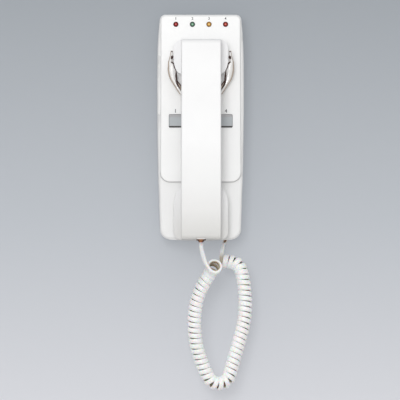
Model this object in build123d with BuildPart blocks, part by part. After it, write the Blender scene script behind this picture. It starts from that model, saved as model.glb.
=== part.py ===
from build123d import *

import math
import os

# Wall intercom: a case on the wall, a handset hung on a plated fork, and a curly cord between the two.
# The wall is the plane y = 0, the front looks along -Y, +X is to the right and +Z is up.
# A depth is a distance from the wall towards the front, so depth d lies at y = -d.

# Clearances shared by the pieces
cut_overrun = 1.0
fit_gap = 0.3
slide_gap = 0.1
pin_gap = 0.05

# Case outline, seen from the front
case_height = 220.0
case_width = 84.8
case_top_width = 78.8
case_shoulder_width = 84.2
case_bottom_width = 78.4
case_waist_drop = 74.0
case_shoulder_drop = 40.0
case_top_corner = 5.5
case_bottom_corner = 10.0

# Front case
case_depth = 30.0
case_wall = 2.5
case_edge_round = 2.8
case_wall_gap = 0.5

# Raised front panel, a wedge that stands further out towards its lower edge
panel_top_margin = 1.1
panel_bottom_margin = 56.2
panel_top_width = 77.8
panel_bottom_width = 78.8
panel_top_corner = 4.6
panel_bottom_corner = 9.0
panel_seat = 4.0
panel_top_rise = 1.6
panel_bottom_rise = 3.4
panel_edge_round = 1.2
panel_wall = 2.4
panel_ledge = 4.8
panel_window_corner = 5.0

# Back plate
plate_thickness = 2.5
plate_rim_wall = 2.0
plate_rim_height = 9.0
hook_tab_width = 12.0
hook_tab_spread = 44.0
hook_tab_lip = 0.9
hook_tab_depth = 6.0
hook_tab_thickness = 1.8
wall_hole_pitch = 83.5
wall_hole_diameter = 5.0
cable_entry_width = 24.0
cable_entry_height = 14.0
cable_entry_drop = 66.0
cable_entry_corner = 3.0

# Case screws, driven upwards through the lower wall
case_screw_spread = 24.0
case_screw_depth = 11.0
case_screw_diameter = 3.0
case_screw_head = 5.8
case_screw_cone = 1.5
case_screw_length = 10.0
screw_lug_width = 9.0
screw_lug_height = 9.5
screw_lug_depth = 15.5

# Circuit board
board_width = 66.0
board_height = 128.0
board_thickness = 1.6
board_set_back = 14.0
board_top_margin = 4.0
board_corner = 2.0
board_access_hole = 10.0
board_post_diameter = 7.0
board_post_margin = 6.0
board_post_drop = 16.0
board_screw_diameter = 2.5
board_screw_head = 5.0
board_screw_head_height = 1.8
board_screw_length = 9.0

# Signal lamps
lamp_pitch = 16.2
lamp_drop = 9.5
lamp_diameter = 5.0
lamp_flange = 5.8
lamp_flange_height = 1.0
lamp_length = 8.6
lamp_proud = 1.7
lamp_lead_side = 0.6
lamp_lead_spacing = 2.54

# Call buttons and their switches
button_pitch = 16.2
button_row_drop = 19.0
button_width = 13.3
button_height = 12.5
button_corner = 0.8
button_edge_round = 0.7
button_proud = 1.4
button_flange_rim = 1.0
button_flange_height = 1.2
button_stem_diameter = 4.0
button_stem_dip = 1.2
button_travel = 2.0
switch_side = 12.0
switch_height = 4.4
switch_corner = 0.6

# Hook lever and its pin
pivot_set_back = 5.2
pivot_drop = 27.0
pin_diameter = 3.0
barrel_diameter = 8.0
barrel_width = 14.0
lever_arm_width = 10.0
lever_arm_height = 5.0
lever_arm_dip = 3.0
lever_tail_length = 9.5
lever_tail_thickness = 2.6
lever_tail_back = 1.3
pivot_ear_thickness = 3.0
pivot_ear_diameter = 8.6
lever_slot_rise = 3.6
lever_slot_side = 0.6
lever_slot_drop = 0.8

# Hook switch and hook spring, both under the lever's tail
hook_switch_width = 6.5
hook_switch_height = 6.5
hook_switch_offset = 3.5
hook_plunger_diameter = 2.0
hook_plunger_reach = 1.2
hook_spring_offset = 4.0
hook_spring_wire = 0.5
hook_spring_diameter = 4.6
hook_spring_turns = 4
hook_tail_margin = 3.0

# Plated fork: half of its front view, and the size of its blade
fork_side_gap = 2.0
fork_height = 49.5
fork_reach = 15.0
fork_forward = 7.5
fork_blade_width = 7.4
fork_blade_thickness = 4.0
fork_steps = 3
# Along the arm from the middle: across, up, forward, width and thickness, as shares of the sizes above
fork_arm_shares = [
    (0.0, 0.0, 0.0, 1.1, 1.4),
    (0.26, 0.01, 0.0, 0.85, 1.2),
    (0.5, 0.075, 0.01, 0.6, 1.05),
    (0.684, 0.177, 0.05, 0.43, 0.95),
    (0.835, 0.315, 0.1, 0.44, 0.95),
    (0.944, 0.465, 0.16, 0.76, 0.95),
    (0.981, 0.606, 0.22, 0.98, 1.0),
    (1.0, 0.707, 0.31, 0.9, 1.0),
    (1.045, 0.79, 0.46, 0.52, 0.85),
    (1.015, 0.9, 0.72, 0.38, 0.7),
    (1.0, 1.0, 1.0, 0.28, 0.5),
]

# Buzzer and terminal block on the board
buzzer_diameter = 24.0
buzzer_height = 8.5
buzzer_side = 17.0
buzzer_drop = 42.0
buzzer_port = 3.0
buzzer_round = 1.0
terminal_count = 6
terminal_pitch = 5.0
terminal_depth = 9.0
terminal_height = 10.0
terminal_margin = 2.0
terminal_wire_hole = 2.6
terminal_screw_diameter = 3.4
terminal_screw_height = 2.4

# Handset bar: its back behind the joint, and the rise of its bowed front before the joint
bar_width = 38.8
bar_top_drop = 24.5
bar_back_thickness = 3.8
bar_top_rise = 11.2
bar_middle_rise = 16.2
bar_bottom_rise = 6.2
bar_top_round = 4.0
bar_bottom_round = 5.0
bar_edge_round = 1.2
bar_back_round = 3.2
shell_wall = 2.2

# Handset pods behind the two ends of the bar
pod_width = 53.0
pod_thickness = 12.2
pod_back_round = 2.0
ear_pod_length = 33.5
ear_pod_gap = 0.57
ear_pod_corner = 8.5
ear_pod_shoulder = 14.0
mouth_pod_drop = 6.8
mouth_pod_gap = 0.4
mouth_pod_corner = 7.0
mouth_pod_shoulder = 16.0

# Inside the handset
receiver_diameter = 26.0
receiver_height = 8.0
receiver_magnet_diameter = 14.0
receiver_magnet_height = 3.0
receiver_ring_height = 1.2
receiver_ring_wall = 3.0
ear_hole_diameter = 1.8
ear_hole_circle = 8.0
ear_hole_count = 8
microphone_diameter = 9.7
microphone_height = 4.5
microphone_boot_wall = 2.0
microphone_boot_height = 7.0
microphone_rise = 17.0
microphone_hole_diameter = 1.6
microphone_hole_pitch = 3.2
handset_screw_diameter = 3.0
handset_screw_head = 5.4
handset_screw_head_height = 2.0
handset_screw_length = 11.0
handset_screw_boss = 7.4
handset_screw_ear_drop = 18.0
handset_screw_mouth_rise = 16.6

# Cord: a round wire, its coil and the strain relief boots at both ends
cord_diameter = 3.0
coil_radius = 5.5
coil_turns = 52.59
coil_start_angle = 212.4
coil_bend_share = 0.78
coil_step = 0.5
arcs_per_turn = 4
handset_boot_diameter = 7.4
handset_boot_flare = 8.8
handset_boot_tip = 4.4
handset_boot_length = 2.5
handset_boot_neck = 3.6
base_exit_offset = 24.8
base_exit_depth = 16.2
base_boot_diameter = 4.0
base_boot_tip = 3.5
base_boot_length = 3.4
base_boot_flange = 8.6
base_boot_flange_height = 2.0
base_boot_lean = 20.0
handset_boot_run = 5.2
handset_coil_run = 7.4
base_boot_run = 4.4
base_coil_run = 5.6
handset_lead_bend = (1.3, -50.8, -122.9)
# Core line of the coil, from the handset's end down, round the bend and up to the case's end
coil_route = [
    (13.4, -54.5, -135.7),
    (11.9, -46.6, -137.9),
    (8.6, -42.4, -143.6),
    (3.6, -41.2, -151.6),
    (-1.4, -40.6, -160.6),
    (-5.2, -39.6, -174.0),
    (-6.6, -38.2, -189.5),
    (-5.8, -36.8, -205.0),
    (-3.0, -35.4, -220.0),
    (3.2, -34.0, -236.6),
    (9.0, -33.2, -247.9),
    (14.5, -32.6, -250.9),
    (20.7, -32.0, -250.5),
    (25.7, -31.2, -246.7),
    (29.8, -30.0, -235.5),
    (34.2, -28.6, -221.5),
    (38.8, -27.0, -206.0),
    (42.9, -25.6, -190.0),
    (44.1, -24.4, -174.0),
    (42.8, -23.2, -158.0),
    (40.3, -22.2, -146.0),
    (36.2, -21.4, -136.2),
    (28.6, -21.0, -131.6),
    (21.6, -21.0, -131.6),
]

# Places that several pieces share
half_height = case_height / 2
seat_depth = case_depth - panel_seat
panel_top = half_height - panel_top_margin
panel_height = case_height - panel_top_margin - panel_bottom_margin
panel_bottom = panel_top - panel_height
panel_floor_depth = case_depth + panel_top_rise - panel_wall
plate_inset = case_wall + fit_gap
board_rear_depth = case_depth - board_set_back
board_front_depth = board_rear_depth + board_thickness
board_top = half_height - board_top_margin
board_middle = board_top - board_height / 2
lamp_height = half_height - lamp_drop
pod_half_width = pod_width / 2
bar_half_width = bar_width / 2
bar_top = half_height - bar_top_drop
ear_pod_foot = bar_top - ear_pod_length
mouth_pod_head = panel_bottom - mouth_pod_drop
mouth_pod_length = half_height + mouth_pod_head
pivot_depth = panel_floor_depth - pivot_set_back
pivot_height = ear_pod_foot - pivot_drop
button_row_height = pivot_height - button_row_drop
tail_foot = pivot_height - lever_tail_length
tail_back_depth = pivot_depth - lever_tail_back
tail_press_height = tail_foot + hook_tail_margin
fork_half_width = pod_half_width + fork_side_gap
fork_depth = pivot_depth + fork_reach
lever_arm_reach = fork_reach - fork_blade_thickness / 2 * fork_arm_shares[0][-1] + lever_arm_dip
row_shares = (-1.5, -0.5, 0.5, 1.5)
lamp_places = [lamp_pitch * share for share in row_shares]
button_places = [button_pitch * share for share in row_shares]

os.makedirs("parts", exist_ok=True)


def front_plane(depth):
    return Plane.XZ.offset(depth)


def level_plane(height):
    return Plane.XY.offset(height)


def panel_front_depth(height):
    slope = (panel_bottom_rise - panel_top_rise) / panel_height
    return case_depth + panel_top_rise + slope * (panel_top - height)


# Depths of the handset, which hangs just before the panel and the case
ear_pod_depth = panel_front_depth(ear_pod_foot) + ear_pod_gap
mouth_pod_depth = case_depth + mouth_pod_gap
bar_back_depth = ear_pod_depth + pod_thickness
bar_joint_depth = bar_back_depth + bar_back_thickness
bar_top_depth = bar_joint_depth + bar_top_rise
bar_middle_depth = bar_joint_depth + bar_middle_rise
bar_bottom_depth = bar_joint_depth + bar_bottom_rise


def keep(builder, name):
    builder.part.label = name
    export_step(builder.part, f"parts/{name}.step")


def case_outline(inset):
    # Each side is widest at the waist and runs from there in smooth arcs up to the top and down to the foot
    top = case_top_width / 2 - inset
    shoulder = case_shoulder_width / 2 - inset
    waist = case_width / 2 - inset
    bottom = case_bottom_width / 2 - inset
    end = half_height - inset
    shoulder_height = half_height - case_shoulder_drop
    waist_height = half_height - case_waist_drop
    with BuildSketch() as outline:
        with BuildLine():
            Line((-top, end), (top, end))
            for side in (-1, 1):
                rise = TangentArc((side * waist, waist_height), (side * shoulder, shoulder_height), tangent=(0, 1))
                TangentArc((side * shoulder, shoulder_height), (side * top, end), tangent=rise % 1)
                TangentArc((side * waist, waist_height), (side * bottom, -end), tangent=(0, -1))
            Line((bottom, -end), (-bottom, -end))
        make_face()
        fillet(outline.vertices().group_by(Axis.Y)[-1], case_top_corner - inset)
        fillet(outline.vertices().group_by(Axis.Y)[0], case_bottom_corner - inset)
    return outline.sketch


def panel_outline(margin):
    top = panel_top_width / 2 + margin
    bottom = panel_bottom_width / 2 + margin
    with BuildSketch() as outline:
        with BuildLine():
            Polyline(
                (-top, panel_top + margin),
                (top, panel_top + margin),
                (bottom, panel_bottom - margin),
                (-bottom, panel_bottom - margin),
                close=True,
            )
        make_face()
        fillet(outline.vertices().group_by(Axis.Y)[-1], panel_top_corner + margin)
        fillet(outline.vertices().group_by(Axis.Y)[0], panel_bottom_corner + margin)
    return outline.sketch


def pod_outline(foot, end, shoulder, corner, margin):
    # The foot meets the bar under an elliptical shoulder, the end has plain round corners
    side = math.copysign(1, end - foot)
    width = pod_half_width + margin
    neck = bar_half_width
    foot_line = foot - side * margin
    end_line = end + side * margin
    with BuildSketch() as outline:
        with BuildLine():
            Line((0, foot_line), (neck, foot_line))
            EllipticalCenterArc(
                (neck, foot_line + side * shoulder),
                width - neck,
                shoulder,
                start_angle=-90 * side,
                arc_size=90 * side,
            )
            Line((width, foot_line + side * shoulder), (width, end_line))
            Line((width, end_line), (0, end_line))
            mirror(about=Plane.YZ)
        make_face()
        outer_corners = outline.vertices().group_by(Axis.Y)[-1 if side > 0 else 0]
        fillet(outer_corners, corner + margin)
    return outline.sketch


def ear_pod_outline(margin):
    return pod_outline(ear_pod_foot, bar_top, ear_pod_shoulder, ear_pod_corner, margin)


def mouth_pod_outline(margin):
    return pod_outline(mouth_pod_head, -half_height, mouth_pod_shoulder, mouth_pod_corner, margin)


def bar_front_outline(inset):
    # Side view of the bar in front of its joint, with the bowed front
    top = bar_top - inset
    bottom = inset - half_height
    with BuildSketch() as outline:
        with BuildLine():
            Line((-bar_joint_depth, top), (inset - bar_top_depth, top))
            ThreePointArc(
                (inset - bar_top_depth, top),
                (inset - bar_middle_depth, 0),
                (inset - bar_bottom_depth, bottom),
            )
            Line((inset - bar_bottom_depth, bottom), (-bar_joint_depth, bottom))
            Line((-bar_joint_depth, bottom), (-bar_joint_depth, top))
        make_face()
        fillet(outline.vertices().group_by(Axis.Y)[-1].sort_by(Axis.X)[0], bar_top_round - inset)
        fillet(outline.vertices().group_by(Axis.Y)[0].sort_by(Axis.X)[0], bar_bottom_round - inset)
    return outline.sketch


def corner_radii(points):
    # Each bend takes nearly half of its shorter run
    bend_share = 0.45
    radii = []
    for before, corner, after in zip(points, points[1:], points[2:]):
        run_in = Vector(corner) - Vector(before)
        run_out = Vector(after) - Vector(corner)
        half_turn = math.radians(run_in.get_angle(run_out)) / 2
        radii.append(bend_share * min(run_in.length, run_out.length) / math.tan(half_turn))
    return radii


def add_biarc(start, start_direction, end, end_direction):
    # Two arcs that leave the start and reach the end along the given directions
    chord = end - start
    both = start_direction + end_direction
    spread = 2 * (1 - start_direction.dot(end_direction))
    along = chord.dot(both)
    reach = (math.sqrt(along * along + spread * chord.dot(chord)) - along) / spread
    start_corner = start + start_direction * reach
    end_corner = end - end_direction * reach
    middle = (start_corner + end_corner) * 0.5
    TangentArc(start, middle, tangent=start_direction)
    TangentArc(middle, end, tangent=end_corner - start_corner)


def least_gap(arcs, diameter, samples, skip):
    # Smallest distance between the tube's own turns, on points along its middle line
    spots = [tuple(arc.position_at(i / samples)) for arc in arcs for i in range(samples)]
    nearest = min(math.dist(a, b) for i, a in enumerate(spots) for b in spots[i + skip:])
    return nearest - diameter


# Back plate: the tray that is screwed to the wall
with BuildPart() as back_plate:
    with BuildSketch(front_plane(0)):
        add(case_outline(plate_inset))
    extrude(amount=plate_rim_height)
    with BuildSketch(front_plane(plate_thickness)):
        add(case_outline(plate_inset + plate_rim_wall))
    extrude(amount=plate_rim_height, mode=Mode.SUBTRACT)
    post_side = board_width / 2 - board_post_margin
    post_rise = board_height / 2 - board_post_drop
    post_spots = [(side * post_side, board_middle + end * post_rise) for side in (-1, 1) for end in (-1, 1)]
    with BuildSketch(front_plane(plate_thickness)):
        with Locations(*post_spots):
            Circle(board_post_diameter / 2)
    extrude(amount=board_rear_depth - plate_thickness)
    lug_foot = plate_inset - half_height
    with BuildSketch(front_plane(plate_thickness)):
        for side in (-1, 1):
            with Locations((side * case_screw_spread / 2, lug_foot)):
                Rectangle(screw_lug_width, screw_lug_height, align=(Align.CENTER, Align.MIN))
    extrude(amount=screw_lug_depth - plate_thickness)
    tab_top = half_height - plate_inset
    with BuildSketch(front_plane(hook_tab_depth)):
        for side in (-1, 1):
            with Locations((side * hook_tab_spread / 2, tab_top + hook_tab_lip)):
                Rectangle(hook_tab_width, plate_rim_wall + hook_tab_lip, align=(Align.CENTER, Align.MAX))
    extrude(amount=hook_tab_thickness)
    with BuildSketch(front_plane(0)):
        with Locations((0, wall_hole_pitch / 2), (0, -wall_hole_pitch / 2)):
            Circle(wall_hole_diameter / 2)
        with Locations((0, -cable_entry_drop)):
            RectangleRounded(cable_entry_width, cable_entry_height, cable_entry_corner)
    extrude(amount=plate_thickness + cut_overrun, mode=Mode.SUBTRACT)
    with BuildSketch(front_plane(board_rear_depth - board_screw_length)):
        with Locations(*post_spots):
            Circle(board_screw_diameter / 2 + pin_gap)
    extrude(amount=board_screw_length + cut_overrun, mode=Mode.SUBTRACT)
    with BuildSketch(level_plane(lug_foot - cut_overrun)):
        for side in (-1, 1):
            with Locations((side * case_screw_spread / 2, -case_screw_depth)):
                Circle(case_screw_diameter / 2 + pin_gap)
    extrude(amount=screw_lug_height + cut_overrun + cut_overrun, mode=Mode.SUBTRACT)
keep(back_plate, "back_plate")

# Front case: the cover, with a recess for the front panel and a window behind that
with BuildPart() as front_case:
    with BuildSketch(front_plane(case_wall_gap)):
        add(case_outline(0))
    extrude(amount=case_depth - case_wall_gap)
    fillet(front_case.faces().sort_by(Axis.Y)[0].edges(), case_edge_round)
    with BuildSketch(front_plane(case_wall_gap)):
        add(case_outline(case_wall))
    extrude(amount=seat_depth - case_wall - case_wall_gap, mode=Mode.SUBTRACT)
    lower_room = half_height + panel_bottom - case_wall - case_wall
    with BuildSketch(front_plane(case_wall_gap)):
        add(case_outline(case_wall))
        with Locations((0, case_wall - half_height)):
            Rectangle(case_width, lower_room, align=(Align.CENTER, Align.MIN), mode=Mode.INTERSECT)
    extrude(amount=case_depth - case_wall - case_wall_gap, mode=Mode.SUBTRACT)
    with BuildSketch(front_plane(seat_depth)):
        add(panel_outline(fit_gap))
    extrude(amount=panel_seat + cut_overrun, mode=Mode.SUBTRACT)
    with BuildSketch(front_plane(case_wall_gap)):
        with Locations((0, (panel_top + panel_bottom) / 2)):
            RectangleRounded(
                panel_bottom_width - panel_ledge - panel_ledge,
                panel_height - panel_ledge - panel_ledge,
                panel_window_corner,
            )
    extrude(amount=case_depth, mode=Mode.SUBTRACT)
    with BuildSketch(front_plane(hook_tab_depth - fit_gap)):
        for side in (-1, 1):
            with Locations((side * hook_tab_spread / 2, half_height - case_wall - cut_overrun)):
                Rectangle(
                    hook_tab_width + fit_gap + fit_gap,
                    hook_tab_lip + cut_overrun,
                    align=(Align.CENTER, Align.MIN),
                )
    extrude(amount=hook_tab_thickness + fit_gap + fit_gap, mode=Mode.SUBTRACT)
    for side in (-1, 1):
        with BuildSketch(level_plane(-half_height)):
            with Locations((side * case_screw_spread / 2, -case_screw_depth)):
                Circle(case_screw_head / 2 + pin_gap)
        with BuildSketch(level_plane(case_screw_cone - half_height)):
            with Locations((side * case_screw_spread / 2, -case_screw_depth)):
                Circle(case_screw_diameter / 2 + pin_gap)
        loft(mode=Mode.SUBTRACT)
    with BuildSketch(level_plane(-half_height)):
        for side in (-1, 1):
            with Locations((side * case_screw_spread / 2, -case_screw_depth)):
                Circle(case_screw_diameter / 2 + pin_gap)
        with Locations((base_exit_offset, -base_exit_depth)):
            Circle(base_boot_diameter / 2 + pin_gap)
    extrude(amount=case_wall + cut_overrun, mode=Mode.SUBTRACT)
keep(front_case, "front_case")

# Front panel: a wedge with a hollow back, lamp holes, button windows, the fork's slot and the pin's ears
panel_face = Plane(
    origin=(0, -panel_front_depth(panel_top), panel_top),
    x_dir=(1, 0, 0),
    z_dir=(0, -panel_height, panel_bottom_rise - panel_top_rise),
)
ear_middle = barrel_width / 2 + fit_gap + pivot_ear_thickness / 2
with BuildPart() as front_panel:
    with BuildSketch(front_plane(seat_depth)):
        add(panel_outline(0))
    extrude(amount=panel_seat + panel_bottom_rise + cut_overrun)
    split(bisect_by=panel_face, keep=Keep.BOTTOM)
    fillet(front_panel.faces().sort_by(Axis.Y)[0].edges(), panel_edge_round)
    with BuildSketch(front_plane(seat_depth)):
        add(panel_outline(-panel_wall))
    extrude(amount=panel_floor_depth - seat_depth, mode=Mode.SUBTRACT)
    ear_reach = panel_floor_depth - pivot_depth
    for side in (-1, 1):
        with BuildSketch(Plane.YZ.offset(side * ear_middle)):
            with Locations((-pivot_depth, pivot_height)):
                Circle(pivot_ear_diameter / 2)
                Rectangle(ear_reach, pivot_ear_diameter, align=(Align.MAX, Align.CENTER))
        extrude(amount=pivot_ear_thickness / 2, both=True)
    with BuildSketch(Plane.YZ):
        with Locations((-pivot_depth, pivot_height)):
            Circle(pin_diameter / 2)
    extrude(amount=ear_middle + pivot_ear_thickness, both=True, mode=Mode.SUBTRACT)
    slot_foot = pivot_height - lever_arm_height / 2 - lever_slot_drop
    slot_head = pivot_height + lever_arm_height / 2 + lever_slot_rise
    with BuildSketch(front_plane(seat_depth)):
        for place in lamp_places:
            with Locations((place, lamp_height)):
                Circle(lamp_diameter / 2 + slide_gap)
        for place in button_places:
            with Locations((place, button_row_height)):
                RectangleRounded(
                    button_width + fit_gap + fit_gap,
                    button_height + fit_gap + fit_gap,
                    button_corner + fit_gap,
                )
        with Locations((0, slot_foot)):
            Rectangle(
                lever_arm_width + lever_slot_side + lever_slot_side,
                slot_head - slot_foot,
                align=(Align.CENTER, Align.MIN),
            )
    extrude(amount=panel_seat + panel_bottom_rise + cut_overrun, mode=Mode.SUBTRACT)
keep(front_panel, "front_panel")

# Case screws, countersunk into the lower wall
with BuildPart() as case_screws:
    for side in (-1, 1):
        with BuildSketch(level_plane(-half_height)):
            with Locations((side * case_screw_spread / 2, -case_screw_depth)):
                Circle(case_screw_head / 2)
        with BuildSketch(level_plane(case_screw_cone - half_height)):
            with Locations((side * case_screw_spread / 2, -case_screw_depth)):
                Circle(case_screw_diameter / 2)
        loft()
    with BuildSketch(level_plane(case_screw_cone - half_height)):
        for side in (-1, 1):
            with Locations((side * case_screw_spread / 2, -case_screw_depth)):
                Circle(case_screw_diameter / 2)
    extrude(amount=case_screw_length - case_screw_cone)
keep(case_screws, "case_screws")

# Circuit board on the plate's posts, with a hole that gives access to the upper wall screw
with BuildPart() as circuit_board:
    with BuildSketch(front_plane(board_rear_depth)):
        with Locations((0, board_middle)):
            RectangleRounded(board_width, board_height, board_corner)
        with Locations(*post_spots):
            Circle(board_screw_diameter / 2 + slide_gap, mode=Mode.SUBTRACT)
        with Locations((0, wall_hole_pitch / 2)):
            Circle(board_access_hole / 2, mode=Mode.SUBTRACT)
    extrude(amount=board_thickness)
keep(circuit_board, "circuit_board")

with BuildPart() as board_screws:
    with BuildSketch(front_plane(board_front_depth)):
        with Locations(*post_spots):
            Circle(board_screw_head / 2)
    extrude(amount=board_screw_head_height)
    with BuildSketch(front_plane(board_front_depth)):
        with Locations(*post_spots):
            Circle(board_screw_diameter / 2)
    extrude(amount=-board_screw_length)
keep(board_screws, "board_screws")

# Signal lamps: a flange, a barrel and a round nose
lamp_tip_depth = panel_front_depth(lamp_height) + lamp_proud
lamp_base_depth = lamp_tip_depth - lamp_length
lamp_dome_depth = lamp_tip_depth - lamp_diameter / 2
for number, place in enumerate(lamp_places, start=1):
    with BuildPart() as lamp:
        with BuildSketch(level_plane(lamp_height)):
            with BuildLine():
                Polyline(
                    (place, -lamp_tip_depth),
                    (place, -lamp_base_depth),
                    (place + lamp_flange / 2, -lamp_base_depth),
                    (place + lamp_flange / 2, -lamp_base_depth - lamp_flange_height),
                    (place + lamp_diameter / 2, -lamp_base_depth - lamp_flange_height),
                    (place + lamp_diameter / 2, -lamp_dome_depth),
                )
                CenterArc((place, -lamp_dome_depth), lamp_diameter / 2, start_angle=0, arc_size=-90)
            make_face()
        revolve(axis=Axis((place, 0, lamp_height), (0, 1, 0)))
    keep(lamp, f"led_{number}")

with BuildPart() as lamp_leads:
    with BuildSketch(front_plane(board_front_depth)):
        for place in lamp_places:
            for side in (-1, 1):
                with Locations((place + side * lamp_lead_spacing / 2, lamp_height)):
                    Rectangle(lamp_lead_side, lamp_lead_side)
    extrude(amount=lamp_base_depth - board_front_depth)
keep(lamp_leads, "led_leads")

# Call switches on the board, each with a bore for its button's stem
button_front_depth = panel_front_depth(button_row_height) + button_proud
button_flange_depth = panel_floor_depth - slide_gap
stem_end_depth = board_front_depth + switch_height - button_stem_dip
switch_bore = button_stem_dip + button_travel + fit_gap
with BuildPart() as call_switches:
    with BuildSketch(front_plane(board_front_depth)):
        for place in button_places:
            with Locations((place, button_row_height)):
                RectangleRounded(switch_side, switch_side, switch_corner)
    extrude(amount=switch_height)
    with BuildSketch(front_plane(board_front_depth + switch_height)):
        for place in button_places:
            with Locations((place, button_row_height)):
                Circle(button_stem_diameter / 2 + slide_gap)
    extrude(amount=-switch_bore, mode=Mode.SUBTRACT)
keep(call_switches, "call_switches")

# Call buttons: a cap in the panel's window, a flange behind the panel and a stem
for number, place in enumerate(button_places, start=1):
    with BuildPart() as button:
        with BuildSketch(front_plane(button_flange_depth)):
            with Locations((place, button_row_height)):
                RectangleRounded(button_width, button_height, button_corner)
        extrude(amount=button_front_depth - button_flange_depth)
        fillet(button.faces().sort_by(Axis.Y)[0].edges(), button_edge_round)
        with BuildSketch(front_plane(button_flange_depth)):
            with Locations((place, button_row_height)):
                RectangleRounded(
                    button_width + button_flange_rim + button_flange_rim,
                    button_height + button_flange_rim + button_flange_rim,
                    button_corner,
                )
        extrude(amount=-button_flange_height)
        with BuildSketch(front_plane(stem_end_depth)):
            with Locations((place, button_row_height)):
                Circle(button_stem_diameter / 2)
        extrude(amount=button_flange_depth - stem_end_depth)
    keep(button, f"call_button_{number}")

# Hook pin, held in the panel's ears
with BuildPart() as hook_pin:
    with BuildSketch(Plane.YZ):
        with Locations((-pivot_depth, pivot_height)):
            Circle(pin_diameter / 2)
    extrude(amount=ear_middle + pivot_ear_thickness / 2, both=True)
keep(hook_pin, "hook_pin")

# Hook lever: a barrel on the pin, an arm out to the fork and a tail down to the hook switch
with BuildPart() as hook_lever:
    with BuildSketch(Plane.YZ):
        with Locations((-pivot_depth, pivot_height)):
            Circle(barrel_diameter / 2)
    extrude(amount=barrel_width / 2, both=True)
    with BuildSketch(Plane.YZ):
        with Locations((-pivot_depth, pivot_height)):
            Rectangle(lever_arm_reach, lever_arm_height, align=(Align.MAX, Align.CENTER))
    extrude(amount=lever_arm_width / 2, both=True)
    with BuildSketch(Plane.YZ):
        with Locations((-tail_back_depth, pivot_height)):
            Rectangle(lever_tail_thickness, lever_tail_length, align=(Align.MAX, Align.MAX))
    extrude(amount=barrel_width / 2, both=True)
    with BuildSketch(Plane.YZ):
        with Locations((-pivot_depth, pivot_height)):
            Circle(pin_diameter / 2 + pin_gap)
    extrude(amount=barrel_width, both=True, mode=Mode.SUBTRACT)
keep(hook_lever, "hook_lever")

# Plated fork: two arms that sweep out and up into horns, with a saddle that the handset's ear pod rests in
def fork_shares(place):
    # Values between the rows of the table, on a smooth curve that is level at the middle
    across_share, *other_shares = fork_arm_shares[1]
    rows = [(-across_share, *other_shares), *fork_arm_shares, fork_arm_shares[-1]]
    index = min(int(place), len(fork_arm_shares) - 2)
    part = place - index
    values = []
    for before, near, far, after in zip(*rows[index:index + 4]):
        near_slope = (far - before) / 2
        far_slope = (after - near) / 2
        bend = 2 * (near - far) + near_slope + far_slope
        rise = 3 * (far - near) - 2 * near_slope - far_slope
        values.append(((bend * part + rise) * part + near_slope) * part + near)
    return values


fork_rows = [fork_shares(i / fork_steps) for i in range((len(fork_arm_shares) - 1) * fork_steps + 1)]
fork_spots = [
    Vector(
        fork_half_width * across_share,
        -fork_depth - fork_forward * forward_share,
        pivot_height + fork_height * up_share,
    )
    for across_share, up_share, forward_share, width_share, thickness_share in fork_rows
]
with BuildPart() as hook_fork:
    for index, (*place_shares, width_share, thickness_share) in enumerate(fork_rows):
        before = fork_spots[max(index - 1, 0)]
        after = fork_spots[min(index + 1, len(fork_spots) - 1)]
        along = Vector(after.X - before.X, 0, after.Z - before.Z) if index else Vector(1, 0, 0)
        with BuildSketch(Plane(fork_spots[index], x_dir=(-along.Z, 0, along.X), z_dir=along)):
            Ellipse(fork_blade_width / 2 * width_share, fork_blade_thickness / 2 * thickness_share)
    loft()
    mirror(about=Plane.YZ)
    with BuildSketch(front_plane(ear_pod_depth)):
        add(ear_pod_outline(fit_gap))
    extrude(amount=bar_joint_depth - ear_pod_depth, mode=Mode.SUBTRACT)
    with BuildSketch(front_plane(pivot_depth)):
        with Locations((0, pivot_height)):
            Rectangle(lever_arm_width + slide_gap, lever_arm_height + slide_gap)
    extrude(amount=lever_arm_reach, mode=Mode.SUBTRACT)
keep(hook_fork, "hook_fork")

# Hook switch under the tail, with its plunger against it
with BuildPart() as hook_switch:
    with BuildSketch(front_plane(board_front_depth)):
        with Locations((-hook_switch_offset, tail_press_height)):
            RectangleRounded(hook_switch_width, hook_switch_height, switch_corner)
    extrude(amount=tail_back_depth - slide_gap - hook_plunger_reach - board_front_depth)
    with BuildSketch(front_plane(board_front_depth)):
        with Locations((-hook_switch_offset, tail_press_height)):
            Circle(hook_plunger_diameter / 2)
    extrude(amount=tail_back_depth - slide_gap - board_front_depth)
keep(hook_switch, "hook_switch")

# Hook spring: an open coil between the board and the tail
spring_radius = (hook_spring_diameter - hook_spring_wire) / 2
spring_foot = board_front_depth + hook_spring_wire / 2 + slide_gap
spring_head = tail_back_depth - hook_spring_wire / 2 - slide_gap
spring_rise = (spring_head - spring_foot) / (hook_spring_turns * 2 * math.pi)


def spring_spot(angle):
    return Vector(
        hook_spring_offset + spring_radius * math.cos(angle),
        -spring_foot - spring_rise * angle,
        tail_press_height + spring_radius * math.sin(angle),
    )


def spring_direction(angle):
    turn = Vector(-spring_radius * math.sin(angle), -spring_rise, spring_radius * math.cos(angle))
    return turn.normalized()


spring_angles = [2 * math.pi * i / arcs_per_turn for i in range(hook_spring_turns * arcs_per_turn + 1)]
with BuildLine() as spring_line:
    for angle, next_angle in zip(spring_angles, spring_angles[1:]):
        add_biarc(
            spring_spot(angle),
            spring_direction(angle),
            spring_spot(next_angle),
            spring_direction(next_angle),
        )
with BuildPart() as hook_spring:
    with BuildSketch(Plane(spring_spot(0), z_dir=spring_direction(0))):
        Circle(hook_spring_wire / 2)
    sweep(path=spring_line.wire())
keep(hook_spring, "hook_spring")

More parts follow.
